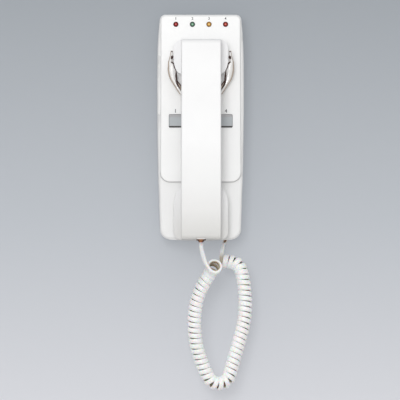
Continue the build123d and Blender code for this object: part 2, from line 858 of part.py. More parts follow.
# Buzzer on the board
with BuildPart() as buzzer:
    with BuildSketch(front_plane(board_front_depth)):
        with Locations((-buzzer_side, half_height - buzzer_drop)):
            Circle(buzzer_diameter / 2)
    extrude(amount=buzzer_height)
    fillet(buzzer.faces().sort_by(Axis.Y)[0].edges(), buzzer_round)
    with BuildSketch(front_plane(board_front_depth + buzzer_height)):
        with Locations((-buzzer_side, half_height - buzzer_drop)):
            Circle(buzzer_port / 2)
    extrude(amount=-buzzer_height / 2, mode=Mode.SUBTRACT)
keep(buzzer, "buzzer")

# Terminal block at the board's lower edge, with its screws and wire holes
terminal_foot = board_top - board_height + terminal_margin
terminal_spots = [
    (terminal_pitch * (index - (terminal_count - 1) / 2), terminal_foot + terminal_height / 2)
    for index in range(terminal_count)
]
terminal_front_depth = board_front_depth + terminal_depth
with BuildPart() as terminal_block:
    with BuildSketch(front_plane(board_front_depth)):
        with Locations((0, terminal_foot)):
            Rectangle(
                terminal_pitch * terminal_count,
                terminal_height,
                align=(Align.CENTER, Align.MIN),
            )
    extrude(amount=terminal_depth)
    with BuildSketch(front_plane(terminal_front_depth)):
        with Locations(*terminal_spots):
            Circle(terminal_screw_diameter / 2 + slide_gap)
    extrude(amount=-terminal_screw_height, mode=Mode.SUBTRACT)
    with BuildSketch(level_plane(terminal_foot)):
        with Locations(*[(spot[0], -board_front_depth - terminal_depth / 3) for spot in terminal_spots]):
            Circle(terminal_wire_hole / 2)
    extrude(amount=terminal_height / 2, mode=Mode.SUBTRACT)
keep(terminal_block, "terminal_block")

with BuildPart() as terminal_screws:
    with BuildSketch(front_plane(terminal_front_depth - terminal_screw_height)):
        with Locations(*terminal_spots):
            Circle(terminal_screw_diameter / 2)
    extrude(amount=terminal_screw_height - slide_gap)
keep(terminal_screws, "terminal_screws")

# Handset front shell: the bowed bar, hollow apart from its two screw bosses
screw_spots = [(0, ear_pod_foot - handset_screw_ear_drop), (0, mouth_pod_head + handset_screw_mouth_rise)]
with BuildPart() as bar_room:
    with BuildSketch(Plane.YZ):
        add(bar_front_outline(shell_wall))
    extrude(amount=bar_half_width - shell_wall, both=True)
    with BuildSketch(front_plane(bar_joint_depth)):
        with Locations(*screw_spots):
            Circle(handset_screw_boss / 2)
    extrude(amount=bar_middle_depth - bar_joint_depth, mode=Mode.SUBTRACT)

with BuildPart() as handset_front_shell:
    with BuildSketch(Plane.YZ):
        add(bar_front_outline(0))
    extrude(amount=bar_half_width, both=True)
    left_rim = handset_front_shell.faces().sort_by(Axis.X)[0].edges().sort_by(Axis.Y)[:-1]
    right_rim = handset_front_shell.faces().sort_by(Axis.X)[-1].edges().sort_by(Axis.Y)[:-1]
    fillet(left_rim + right_rim, bar_edge_round)
    add(bar_room.part, mode=Mode.SUBTRACT)
    with BuildSketch(front_plane(bar_joint_depth)):
        with Locations(*screw_spots):
            Circle(handset_screw_diameter / 2 + pin_gap)
    extrude(amount=handset_screw_length, mode=Mode.SUBTRACT)
    with BuildSketch(level_plane(-half_height)):
        with Locations((0, -bar_joint_depth)):
            Circle(handset_boot_diameter / 2 + pin_gap)
    extrude(amount=shell_wall + bar_bottom_round, mode=Mode.SUBTRACT)
keep(handset_front_shell, "handset_front_shell")

# Handset rear shell: the grip's back between the ear pod and the mouth pod
ear_middle_height = bar_top - ear_pod_length / 2
microphone_height_place = microphone_rise - half_height
with BuildPart() as handset_rear_shell:
    with BuildSketch(front_plane(ear_pod_depth)):
        add(ear_pod_outline(0))
    extrude(amount=bar_back_depth - ear_pod_depth)
    fillet(handset_rear_shell.faces(Select.LAST).sort_by(Axis.Y)[-1].edges(), pod_back_round)
    with BuildSketch(front_plane(mouth_pod_depth)):
        add(mouth_pod_outline(0))
    extrude(amount=bar_back_depth - mouth_pod_depth)
    fillet(handset_rear_shell.faces(Select.LAST).sort_by(Axis.Y)[-1].edges(), pod_back_round)
    with BuildSketch(front_plane(bar_back_depth)):
        with Locations((0, bar_top)):
            Rectangle(bar_width, ear_pod_length, align=(Align.CENTER, Align.MAX))
        with Locations((0, -half_height)):
            Rectangle(bar_width, mouth_pod_length, align=(Align.CENTER, Align.MIN))
    extrude(amount=bar_joint_depth - bar_back_depth)
    with BuildSketch(level_plane(mouth_pod_head)) as grip_section:
        with Locations((0, -bar_back_depth)):
            Rectangle(bar_width, bar_joint_depth - bar_back_depth, align=(Align.CENTER, Align.MAX))
        fillet(grip_section.vertices().group_by(Axis.Y)[-1], bar_back_round)
    extrude(amount=ear_pod_foot - mouth_pod_head)
    with BuildSketch(front_plane(bar_back_depth + shell_wall)):
        with Locations((0, shell_wall - half_height)):
            Rectangle(
                bar_width - shell_wall - shell_wall,
                half_height + bar_top - shell_wall - shell_wall,
                align=(Align.CENTER, Align.MIN),
            )
        with Locations(*screw_spots):
            Circle(handset_screw_boss / 2, mode=Mode.SUBTRACT)
    extrude(amount=bar_joint_depth, mode=Mode.SUBTRACT)
    for depth, outline in ((ear_pod_depth, ear_pod_outline), (mouth_pod_depth, mouth_pod_outline)):
        with BuildSketch(front_plane(depth + shell_wall)):
            add(outline(-shell_wall))
        extrude(amount=bar_back_depth - depth - shell_wall - shell_wall, mode=Mode.SUBTRACT)
        with BuildSketch(front_plane(depth + shell_wall)):
            add(outline(-shell_wall))
            Rectangle(bar_width - shell_wall - shell_wall, case_height, mode=Mode.INTERSECT)
        extrude(amount=bar_joint_depth - depth, mode=Mode.SUBTRACT)
    with BuildSketch(front_plane(ear_pod_depth)):
        with Locations((0, ear_middle_height)):
            Circle(ear_hole_diameter / 2)
            with PolarLocations(ear_hole_circle, ear_hole_count):
                Circle(ear_hole_diameter / 2)
            with PolarLocations(ear_hole_circle / 2, ear_hole_count // 2):
                Circle(ear_hole_diameter / 2)
    extrude(amount=shell_wall + cut_overrun, mode=Mode.SUBTRACT)
    with BuildSketch(front_plane(mouth_pod_depth)):
        for side in (-1, 0, 1):
            with Locations((side * microphone_hole_pitch, microphone_height_place)):
                Circle(microphone_hole_diameter / 2)
    extrude(amount=shell_wall + cut_overrun, mode=Mode.SUBTRACT)
    with BuildSketch(front_plane(bar_back_depth)):
        with Locations(*screw_spots):
            Circle(handset_screw_head / 2 + slide_gap)
    extrude(amount=handset_screw_head_height, mode=Mode.SUBTRACT)
    with BuildSketch(front_plane(bar_back_depth)):
        with Locations(*screw_spots):
            Circle(handset_screw_diameter / 2 + pin_gap)
    extrude(amount=bar_joint_depth - bar_back_depth, mode=Mode.SUBTRACT)
    with BuildSketch(level_plane(-half_height)):
        with Locations((0, -bar_joint_depth)):
            Circle(handset_boot_diameter / 2 + pin_gap)
    extrude(amount=shell_wall + bar_bottom_round, mode=Mode.SUBTRACT)
keep(handset_rear_shell, "handset_rear_shell")

with BuildPart() as handset_screws:
    with BuildSketch(front_plane(bar_back_depth)):
        with Locations(*screw_spots):
            Circle(handset_screw_head / 2)
    extrude(amount=handset_screw_head_height)
    with BuildSketch(front_plane(bar_back_depth)):
        with Locations(*screw_spots):
            Circle(handset_screw_diameter / 2)
    extrude(amount=handset_screw_length)
keep(handset_screws, "handset_screws")

# Receiver behind the ear holes, on its ring, and microphone behind the mouth holes, in its boot
ring_depth = ear_pod_depth + shell_wall
with BuildPart() as receiver_ring:
    with BuildSketch(front_plane(ring_depth)):
        with Locations((0, ear_middle_height)):
            Circle(receiver_diameter / 2)
            Circle(receiver_diameter / 2 - receiver_ring_wall, mode=Mode.SUBTRACT)
    extrude(amount=receiver_ring_height)
keep(receiver_ring, "receiver_ring")

with BuildPart() as receiver_capsule:
    with BuildSketch(front_plane(ring_depth + receiver_ring_height)):
        with Locations((0, ear_middle_height)):
            Circle(receiver_diameter / 2)
    extrude(amount=receiver_height)
    with BuildSketch(front_plane(ring_depth + receiver_ring_height + receiver_height)):
        with Locations((0, ear_middle_height)):
            Circle(receiver_magnet_diameter / 2)
    extrude(amount=receiver_magnet_height)
keep(receiver_capsule, "receiver_capsule")

boot_depth = mouth_pod_depth + shell_wall
with BuildPart() as microphone_boot:
    with BuildSketch(front_plane(boot_depth)):
        with Locations((0, microphone_height_place)):
            Circle(microphone_diameter / 2 + microphone_boot_wall)
            Circle(microphone_diameter / 2 + pin_gap, mode=Mode.SUBTRACT)
    extrude(amount=microphone_boot_height)
keep(microphone_boot, "microphone_boot")

with BuildPart() as microphone_capsule:
    with BuildSketch(front_plane(boot_depth)):
        with Locations((0, microphone_height_place)):
            Circle(microphone_diameter / 2)
    extrude(amount=microphone_height)
keep(microphone_capsule, "microphone_capsule")

# Strain relief boot of the handset: a cone below the shells and a neck that they clamp
handset_exit = Vector(0, -bar_joint_depth, -half_height - handset_boot_length)
with BuildPart() as handset_boot:
    with BuildSketch(level_plane(-half_height)):
        with Locations((0, -bar_joint_depth)):
            Circle(handset_boot_diameter / 2)
    extrude(amount=shell_wall + handset_boot_neck)
    with BuildSketch(level_plane(-half_height)):
        with Locations((0, -bar_joint_depth)):
            Circle(handset_boot_flare / 2)
    with BuildSketch(level_plane(handset_exit.Z)):
        with Locations((0, -bar_joint_depth)):
            Circle(handset_boot_tip / 2)
    loft()
keep(handset_boot, "handset_boot")

# Strain relief boot of the case: a neck with a flange inside the wall, and a cone that leans with the cord
base_hole = Vector(base_exit_offset, -base_exit_depth, -half_height)
lean = math.radians(base_boot_lean)
base_out = Vector(-math.sin(lean), 0, -math.cos(lean))
base_exit = base_hole + base_out * base_boot_length
with BuildPart() as base_boot:
    with BuildSketch(level_plane(-half_height)):
        with Locations((base_exit_offset, -base_exit_depth)):
            Circle(base_boot_diameter / 2)
    with BuildSketch(Plane(base_exit, x_dir=(math.cos(lean), 0, -math.sin(lean)), z_dir=-base_out)):
        Circle(base_boot_tip / 2)
    loft()
    with BuildSketch(level_plane(-half_height)):
        with Locations((base_exit_offset, -base_exit_depth)):
            Circle(base_boot_diameter / 2)
    extrude(amount=case_wall)
    with BuildSketch(level_plane(case_wall - half_height)):
        with Locations((base_exit_offset, -base_exit_depth)):
            Circle(base_boot_flange / 2)
    extrude(amount=base_boot_flange_height)
keep(base_boot, "base_boot")

# Curly cord: the coil's wire winds left-handed round its core line, wider apart where that bends
with BuildLine() as coil_core:
    FilletPolyline(*coil_route, radius=corner_radii(coil_route))
core_runs = coil_core.wire().order_edges()
core_marks = [0]
for run in core_runs:
    core_marks.append(core_marks[-1] + run.length)
core_length = core_marks[-1]
core_steps = round(core_length / coil_step)
wall_normal = Vector(0, 1, 0)


def core_run(share):
    # The straight run or bend that a share of the core's length falls on, and the share along that
    distance = min(max(share, 0), 1) * core_length
    index = max(i for i, mark in enumerate(core_marks[:-1]) if mark <= distance)
    return core_runs[index], (distance - core_marks[index]) / core_runs[index].length


def core_spot(share):
    run, run_share = core_run(share)
    return run.position_at(run_share)


def core_direction(share):
    run, run_share = core_run(share)
    return run.tangent_at(run_share)


def turn_rate(share):
    # Turns for each step of the core, fewer where the inner side of a bend draws the turns together
    reach = coil_radius / 2
    reach_share = reach / core_length
    bend = core_direction(share - reach_share).get_angle(core_direction(share + reach_share))
    curvature = math.radians(bend) / (reach + reach)
    return 1 / max(1, coil_bend_share / (1 - curvature * coil_radius))


rates = [turn_rate(i / core_steps) for i in range(core_steps + 1)]
turns_so_far = [0]
for rate, next_rate in zip(rates, rates[1:]):
    turns_so_far.append(turns_so_far[-1] + (rate + next_rate) / 2)
turns_so_far = [coil_turns * turns / turns_so_far[-1] for turns in turns_so_far]


def coil_turn(share):
    place = min(max(share, 0), 1) * core_steps
    index = min(int(place), core_steps - 1)
    part = place - index
    return turns_so_far[index] * (1 - part) + turns_so_far[index + 1] * part


def coil_share(turn):
    index = max(i for i in range(core_steps) if turns_so_far[i] <= turn)
    part = (turn - turns_so_far[index]) / (turns_so_far[index + 1] - turns_so_far[index])
    return (index + part) / core_steps


def coil_spot(share):
    forward = core_direction(share)
    out = (wall_normal - forward * wall_normal.dot(forward)).normalized()
    across = forward.cross(out)
    angle = math.radians(coil_start_angle) - 2 * math.pi * coil_turn(share)
    return core_spot(share) + (out * math.cos(angle) + across * math.sin(angle)) * coil_radius


def coil_direction(share):
    nudge_share = 0.1 / coil_turns / arcs_per_turn
    before = coil_spot(max(share - nudge_share, 0))
    after = coil_spot(min(share + nudge_share, 1))
    return (after - before).normalized()


coil_arcs = math.floor(coil_turns * arcs_per_turn)
coil_shares = [coil_share(coil_turns * i / coil_arcs) for i in range(coil_arcs + 1)]
coil_spots = [coil_spot(share) for share in coil_shares]
coil_directions = [coil_direction(share) for share in coil_shares]
coil_start = coil_spots[0] - coil_directions[0] * cord_diameter
coil_end = coil_spots[-1] + coil_directions[-1] * cord_diameter
with BuildLine() as coil_line:
    Line(coil_start, coil_spots[0])
    for i in range(coil_arcs):
        add_biarc(coil_spots[i], coil_directions[i], coil_spots[i + 1], coil_directions[i + 1])
    Line(coil_spots[-1], coil_end)
coil_path = coil_line.wire()
with BuildPart() as cord_coil:
    with BuildSketch(Plane(coil_start, z_dir=coil_directions[0])):
        Circle(cord_diameter / 2)
    sweep(path=coil_path)
keep(cord_coil, "cord_coil")

wire_section = math.pi * cord_diameter ** 2 / 4
coil_volume_share = cord_coil.part.volume / (wire_section * coil_path.length)
arc_samples = 3
coil_gap = least_gap(coil_line.edges(), cord_diameter, arc_samples, arc_samples * arcs_per_turn)
print("cord_coil core length", round(core_length, 1), "wire length", round(coil_path.length, 1))
print("cord_coil least gap to itself", round(coil_gap, 2), "volume share", round(coil_volume_share, 3))

# The cord's two leads: straight runs and round bends from each boot to the coil
down = Vector(0, 0, -1)
handset_lead_route = [
    handset_exit,
    handset_exit + down * handset_boot_run,
    handset_lead_bend,
    coil_start - coil_directions[0] * handset_coil_run,
    coil_start,
]
base_lead_route = [
    base_exit,
    base_exit + base_out * base_boot_run,
    coil_end + coil_directions[-1] * base_coil_run,
    coil_end,
]
for name, route in (("cord_handset_lead", handset_lead_route), ("cord_base_lead", base_lead_route)):
    radii = corner_radii(route)
    with BuildLine() as lead_line:
        FilletPolyline(*route, radius=radii)
    with BuildPart() as lead:
        with BuildSketch(Plane(route[0], z_dir=route[1] - route[0])):
            Circle(cord_diameter / 2)
        sweep(path=lead_line.wire())
    keep(lead, name)
    lead_length = lead_line.wire().length
    lead_volume_share = lead.part.volume / (wire_section * lead_length)
    print(name, "bend radii", [round(radius, 1) for radius in radii])
    print(name, "length", round(lead_length, 1), "volume share", round(lead_volume_share, 3))
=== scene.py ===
import math

import bpy
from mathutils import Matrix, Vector


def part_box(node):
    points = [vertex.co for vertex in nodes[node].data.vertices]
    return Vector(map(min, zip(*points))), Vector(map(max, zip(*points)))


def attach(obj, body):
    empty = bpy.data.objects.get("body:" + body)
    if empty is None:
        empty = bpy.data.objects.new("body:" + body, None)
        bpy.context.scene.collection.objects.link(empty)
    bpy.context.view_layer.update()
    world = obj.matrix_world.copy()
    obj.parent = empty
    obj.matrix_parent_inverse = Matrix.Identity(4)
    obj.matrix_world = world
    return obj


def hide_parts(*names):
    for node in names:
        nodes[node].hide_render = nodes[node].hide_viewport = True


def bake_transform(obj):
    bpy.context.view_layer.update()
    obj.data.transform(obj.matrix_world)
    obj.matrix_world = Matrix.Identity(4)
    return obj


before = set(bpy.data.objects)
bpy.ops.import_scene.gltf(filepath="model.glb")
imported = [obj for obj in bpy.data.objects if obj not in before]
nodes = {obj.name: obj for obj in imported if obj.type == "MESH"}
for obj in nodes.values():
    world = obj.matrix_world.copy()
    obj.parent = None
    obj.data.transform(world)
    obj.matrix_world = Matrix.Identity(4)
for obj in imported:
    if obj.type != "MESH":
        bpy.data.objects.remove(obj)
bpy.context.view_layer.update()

bpy.ops.object.select_all(action="DESELECT")
print("frame loaded:", len(nodes), "nodes")

# Camera: a long lens a little to the left of the middle
cameraView = {
    "distance": 8.0,
    "leftAngle": 1.0,
    "aim": (-0.00014, 0.0, -0.0714),
    "lens": 733.0,
    "sensor": 36.0,
    "clipEnd": 100,
}


def turnTo(way):
    # Rotation that points a camera or a lamp along a way
    return way.to_track_quat("-Z", "Y").to_euler()


def makeCamera():
    aim = Vector(cameraView["aim"])
    turn = math.radians(cameraView["leftAngle"])
    away = Vector((-math.sin(turn), -math.cos(turn), 0))
    bpy.ops.object.camera_add(location=aim + away * cameraView["distance"])
    camera = bpy.context.object
    camera.name = "frontCamera"
    camera.rotation_euler = turnTo(-away)
    camera.data.lens = cameraView["lens"]
    camera.data.sensor_width = cameraView["sensor"]
    camera.data.clip_end = cameraView["clipEnd"]
    bpy.context.scene.camera = camera


makeCamera()
bpy.context.scene.view_settings.view_transform = "Standard"
print("camera placed")


# Node helpers for the finishes
def newFinish(name):
    finish = bpy.data.materials.new(name)
    finish.use_nodes = True
    return finish, finish.node_tree, finish.node_tree.nodes["Principled BSDF"]


def addNode(tree, kind, **values):
    node = tree.nodes.new(kind)
    for key, value in values.items():
        if hasattr(node, key):
            setattr(node, key, value)
        else:
            node.inputs[key].default_value = value
    return node


def objectCoords(tree):
    return addNode(tree, "ShaderNodeTexCoord").outputs["Object"]


def addAxis(tree, coords, axis):
    parts = addNode(tree, "ShaderNodeSeparateXYZ")
    tree.links.new(coords, parts.inputs[0])
    return parts.outputs[axis]


def addAlong(tree, coords, way):
    # How far the coordinates lie along a way
    place = addNode(tree, "ShaderNodeVectorMath", operation="DOT_PRODUCT")
    place.inputs[1].default_value = way
    tree.links.new(coords, place.inputs[0])
    return place.outputs["Value"]


def addSpan(tree, value, low, high):
    # Share from 0 to 1 of a value between two others
    span = addNode(tree, "ShaderNodeMapRange", **{"From Min": low, "From Max": high})
    tree.links.new(value, span.inputs["Value"])
    return span.outputs["Result"]


def addNoise(tree, coords, scale, detail):
    noise = addNode(tree, "ShaderNodeTexNoise", Scale=scale, Detail=detail)
    tree.links.new(coords, noise.inputs["Vector"])
    return noise.outputs["Fac"]


def addRamp(tree, factor, stops):
    ramp = addNode(tree, "ShaderNodeValToRGB")
    while len(ramp.color_ramp.elements) < len(stops):
        ramp.color_ramp.elements.new(0.5)
    for element, (place, colour) in zip(ramp.color_ramp.elements, stops):
        element.position = place
        element.color = (*colour, 1)
    tree.links.new(factor, ramp.inputs["Fac"])
    return ramp.outputs["Color"]


def addTones(tree, noise, dark, light):
    # Two tones that run into each other over the middle of a noise
    return addRamp(tree, noise, [(0.3, dark), (0.7, light)])


def addBlend(tree, blend, first, second):
    both = addNode(tree, "ShaderNodeMix", data_type="RGBA", blend_type=blend)
    both.inputs[0].default_value = 1
    tree.links.new(first, both.inputs[6])
    tree.links.new(second, both.inputs[7])
    return both.outputs[2]


def addPolish(tree, shader, noise, smoothest, roughest):
    polish = addNode(tree, "ShaderNodeMapRange", **{"To Min": smoothest, "To Max": roughest})
    tree.links.new(noise, polish.inputs["Value"])
    tree.links.new(polish.outputs["Result"], shader.inputs["Roughness"])


def addGrain(tree, shader, coords, scale, strength, depth, detail=3):
    grain = addNoise(tree, coords, scale, detail)
    bump = addNode(tree, "ShaderNodeBump", Strength=strength, Distance=depth)
    tree.links.new(grain, bump.inputs["Height"])
    tree.links.new(bump.outputs["Normal"], shader.inputs["Normal"])


# Moulded plastic: a faint cloud in the colour, a fine mould grain, an uneven polish, and where given,
# painted shade along the height
plasticLook = {"cloud": (26, 4), "polish": (90, 3), "polishSpread": 0.05, "grainDepth": 0.00004}


def mouldedPlastic(name, light, dark, roughness, grainScale=900, grainStrength=0.12, paintedShade=None):
    finish, tree, shader = newFinish(name)
    coords = objectCoords(tree)
    colour = addTones(tree, addNoise(tree, coords, *plasticLook["cloud"]), dark, light)
    # Painted shade: the colour is multiplied by a ramp of tones up the part's height
    if paintedShade:
        share = addSpan(tree, addAxis(tree, coords, "Z"), paintedShade["foot"], paintedShade["top"])
        colour = addBlend(tree, "MULTIPLY", colour, addRamp(tree, share, paintedShade["tones"]))
    tree.links.new(colour, shader.inputs["Base Color"])
    polish = addNoise(tree, coords, *plasticLook["polish"])
    spread = plasticLook["polishSpread"]
    addPolish(tree, shader, polish, roughness - spread, roughness + spread)
    addGrain(tree, shader, coords, grainScale, grainStrength, plasticLook["grainDepth"])
    return finish


# Bare metal: brushed streaks in the colour and the polish
metalLook = {"streak": (220, 5), "roughness": (0.26, 0.36)}


def bareMetal(name, light, dark):
    finish, tree, shader = newFinish(name)
    streak = addNoise(tree, objectCoords(tree), *metalLook["streak"])
    tree.links.new(addTones(tree, streak, dark, light), shader.inputs["Base Color"])
    addPolish(tree, shader, streak, *metalLook["roughness"])
    shader.inputs["Metallic"].default_value = 1
    return finish


# Curly cord: one flat wire, wound left-handed round the core line between its two leads
curlyCord = {
    "width": 0.0047,
    "thickness": 0.0027,
    "sectionPoints": 16,
    "sectionPower": 0.75,
    "coilRadius": 0.0056,
    "turns": 52.59,
    "startAngle": 212.4,
    "pointsPerTurn": 16,
    "coreSteps": 24,
    "wireSteps": 2,
    "searchTurns": 3,
    "bendShare": 0.42,
    "bendReach": 6,
    "leastRun": 1e-6,
    "leastInner": 0.2,
    "endTurns": 2.2,
    "endSpread": 0.14,
    "endThickness": 0.25,
    "bends": [
        (1.4, 2.4, 0.09), (7.0, 5.5, 0.05), (33.5, 4.5, 0.05), (50.1, 3.5, 0.20), (50.9, 1.0, -0.24),
    ],
    "lean": 0.075,
    "leanStart": 7,
    "leanTurns": 6,
    "loopHeart": 0.019,
    "insidePower": 4,
    "handsetLead": {
        "exit": (0, -0.0488, -0.1120), "way": (0, -1, 0), "width": 0.82, "end": 0.0074,
        "points": [(0, -0.0488, -0.1177), (0.0013, -0.0508, -0.1229)],
    },
    "baseLead": {
        "exit": (0.02381, -0.0162, -0.11273), "way": (0.7, 0.72, 0), "width": 0.72, "end": 0.0056,
        "points": [(0.02180, -0.0162, -0.11733)],
    },
    "length": 1.89,
    "pullWay": (-0.6, -0.5, 0.62),
    "pullStart": -0.0765,
    "pullEnd": -0.0475,
}
# Core line's route, in metres, from the handset's end round the bend to the case's end
coreRoute = [
    (0.0134, -0.0545, -0.1357), (0.0119, -0.0466, -0.1379), (0.0086, -0.0424, -0.1436),
    (0.0036, -0.0412, -0.1516), (-0.0014, -0.0406, -0.1606), (-0.0052, -0.0396, -0.1740),
    (-0.0066, -0.0382, -0.1895), (-0.0058, -0.0368, -0.2050), (-0.0030, -0.0354, -0.2200),
    (0.0032, -0.0340, -0.2366), (0.0090, -0.0332, -0.2479), (0.0145, -0.0326, -0.2509),
    (0.0218, -0.0320, -0.2506), (0.0270, -0.0312, -0.2465), (0.0304, -0.0300, -0.2352),
    (0.0342, -0.0286, -0.2215), (0.0388, -0.0270, -0.2060), (0.0429, -0.0256, -0.1900),
    (0.0441, -0.0244, -0.1740), (0.0432, -0.0232, -0.1580), (0.0413, -0.0222, -0.1455),
    (0.0376, -0.0214, -0.1347), (0.0288, -0.0210, -0.1312), (0.0216, -0.0210, -0.1316),
]
# The cord's vinyl carries painted shade: brown on the inside of the coil, and darker towards the
# handset, in its shade
cordVinyl = {
    "cloud": (60, 4),
    "dark": (0.93, 0.925, 0.90),
    "light": (0.97, 0.97, 0.96),
    "insideShadeTones": [(0.1, (1.0, 1.0, 1.0)), (0.7, (0.56, 0.48, 0.36))],
    "handsetShadeWay": (-0.8, 0.4, 0.6),
    "handsetShadeSpan": (-0.118, -0.095),
    "handsetShadeTones": [(0.0, (1.0, 1.0, 1.0)), (0.45, (0.88, 0.885, 0.895)), (1.0, (0.82, 0.83, 0.855))],
    "polish": (240, 3),
    "roughness": (0.34, 0.46),
    "softness": 0.25,
    "softDepth": 0.0015,
    "grain": (1400, 0.1, 0.00003),
}


def splinePoints(name, controls, steps):
    # Points along a smooth spline over the controls, read from an unbevelled curve
    curve = bpy.data.curves.new(name, "CURVE")
    curve.dimensions = "3D"
    spline = curve.splines.new("NURBS")
    spline.points.add(len(controls) - 1)
    for point, control in zip(spline.points, controls):
        point.co = (*control, 1)
    spline.order_u = 3
    spline.use_endpoint_u = True
    spline.resolution_u = steps
    line = bpy.data.objects.new(name, curve)
    mesh = bpy.data.meshes.new_from_object(line)
    points = [vertex.co.copy() for vertex in mesh.vertices]
    bpy.data.objects.remove(line)
    bpy.data.curves.remove(curve)
    bpy.data.meshes.remove(mesh)
    return points


def runLengths(points):
    lengths = [0.0]
    for before, after in zip(points, points[1:]):
        lengths.append(lengths[-1] + (after - before).length)
    return lengths


def directions(points):
    last = len(points) - 1
    return [
        (points[min(i + 1, last)] - points[max(i - 1, 0)]).normalized() for i in range(last + 1)
    ]


def nearest(places, point, numbers):
    # Number of the place that is nearest to a point
    return min(numbers, key=lambda i: (places[i] - point).length_squared)


def smooth(share):
    return share * share * (3 - 2 * share)


def radialFrame(forward):
    wallNormal = Vector((0, 1, 0))
    out = (wallNormal - forward * wallNormal.dot(forward)).normalized()
    return out, forward.cross(out)


def turnCounts(core, along, forward):
    # Turns up to each core point, which lie further apart where the core bends tightly
    last = len(core) - 1
    rates = []
    for i in range(last + 1):
        low, high = max(i - curlyCord["bendReach"], 0), min(i + curlyCord["bendReach"], last)
        run = max(along[high] - along[low], curlyCord["leastRun"])
        bend = forward[low].angle(forward[high]) / run
        inner = max(1 - bend * curlyCord["coilRadius"], curlyCord["leastInner"])
        rates.append(1 / max(1, curlyCord["bendShare"] / inner))
    counts = [0.0]
    for i in range(last):
        counts.append(counts[-1] + (rates[i] + rates[i + 1]) / 2 * (along[i + 1] - along[i]))
    return [curlyCord["turns"] * count / counts[-1] for count in counts]


def endShare(turn):
    # From 1 at the handset's end of the coil to 0 once the turns are even
    return smooth(max(1 - turn / curlyCord["endTurns"], 0))


def coilPoints():
    # Helix points and their core points
    core = splinePoints("coreLine", coreRoute, curlyCord["coreSteps"])
    forward = directions(core)
    turnsSoFar = turnCounts(core, runLengths(core), forward)
    count = round(curlyCord["turns"] * curlyCord["pointsPerTurn"])
    helix, centres = [], []
    index = 0
    for number in range(count + 1):
        turn = curlyCord["turns"] * number / count
        while index < len(core) - 2 and turnsSoFar[index + 1] < turn:
            index += 1
        share = (turn - turnsSoFar[index]) / (turnsSoFar[index + 1] - turnsSoFar[index])
        centre = core[index].lerp(core[index + 1], share)
        out, across = radialFrame(forward[index].lerp(forward[index + 1], share).normalized())
        angle = math.radians(curlyCord["startAngle"]) - 2 * math.pi * turn
        radius = curlyCord["coilRadius"] * (1 + curlyCord["endSpread"] * endShare(turn))
        helix.append(centre + (out * math.cos(angle) + across * math.sin(angle)) * radius)
        centres.append(centre)
    return helix, centres


def bendSpread(turn):
    # Wire lies wider or narrower round some turns, each given as heart, reach and share
    return sum(
        width * math.cos(math.pi / 2 * min(abs(turn - heart) / reach, 1))
        for heart, reach, width in curlyCord["bends"]
    )


def limbLean(turn, out, core, way):
    # Turns of the hanging limbs press together inside the loop and open on its outer side
    inward = out.x * math.copysign(1, curlyCord["loopHeart"] - core.x)
    share = min(max((turn - curlyCord["leanStart"]) / curlyCord["leanTurns"], 0), 1)
    return curlyCord["lean"] * share * inward * abs(way.z)


def wireShape(points, along, helix, centres):
    # The wire's thin way at each point, and how far the wire is widened, thickened and coiled:
    # the thin way points out of the coil, and turns to the lead's own way at each exit
    coreWays = directions(centres)
    reach = curlyCord["searchTurns"] * curlyCord["pointsPerTurn"]
    first = nearest(points, helix[0], range(len(points)))
    final = nearest(points, helix[-1], range(len(points) - 1, first, -1))
    thinWays, growths, guess = [], [], 0
    for i, point in enumerate(points):
        share = 1.0
        if i < first:
            share = along[i] / along[first]
        elif i > final:
            share = (along[-1] - along[i]) / (along[-1] - along[final])
        else:
            low, high = max(guess - reach, 0), min(guess + reach, len(centres) - 1)
            guess = nearest(centres, point, range(low, high + 1))
        ease = smooth(share)
        core = centres[-1] if i > final else centres[guess]
        out = (point - core).normalized()
        lead = curlyCord["handsetLead" if i < first else "baseLead"]
        thinWays.append(Vector(lead["way"]).lerp(out, ease))
        turn = guess / curlyCord["pointsPerTurn"]
        swell = ease if i < first else endShare(turn)
        narrowing = (1 - lead["width"]) * (1 - ease)
        spread = 1 + bendSpread(turn) + limbLean(turn, out, core, coreWays[guess])
        thickening = 1 + curlyCord["endThickness"] * swell
        growths.append((spread * (1 - narrowing), thickening, ease ** curlyCord["insidePower"]))
    return thinWays, growths


def rounded(share):
    return math.copysign(abs(share) ** curlyCord["sectionPower"], share)


def flatSection():
    # Rounded flat oval, as shares of half the width and half the thickness
    count = curlyCord["sectionPoints"]
    angles = [2 * math.pi * i / count for i in range(count)]
    return [(rounded(math.cos(angle)), rounded(math.sin(angle))) for angle in angles]


def tubeMesh(name, points, thinWays, growths):
    vertices, faces, inside = [], [], []
    section = flatSection()
    ring = len(section)
    rings = zip(points, directions(points), thinWays, growths)
    for point, tangent, thinWay, (widening, thickening, coiled) in rings:
        thin = (thinWay - tangent * thinWay.dot(tangent)).normalized()
        wide = tangent.cross(thin)
        halfWidth = curlyCord["width"] / 2 * widening
        halfThickness = curlyCord["thickness"] / 2 * thickening
        for across, up in section:
            vertices.append(point + wide * (across * halfWidth) + thin * (up * halfThickness))
            inside.append(max(-up, 0) * coiled)
    for i in range(len(points) - 1):
        for j in range(ring):
            near, far = i * ring + j, i * ring + (j + 1) % ring
            faces.append((near, far, far + ring, near + ring))
    faces.append(tuple(reversed(range(ring))))
    faces.append(tuple(range((len(points) - 1) * ring, len(points) * ring)))
    mesh = bpy.data.meshes.new(name)
    mesh.from_pydata(vertices, [], faces)
    mesh.update()
    # How far each point faces into the coil, the mask of the painted shade there
    mesh.attributes.new("inside", "FLOAT", "POINT").data.foreach_set("value", inside)
    piece = bpy.data.objects.new(name, mesh)
    bpy.context.scene.collection.objects.link(piece)
    # All but the two ends are smooth
    for face in mesh.polygons:
        face.use_smooth = len(face.vertices) == 4
    return piece


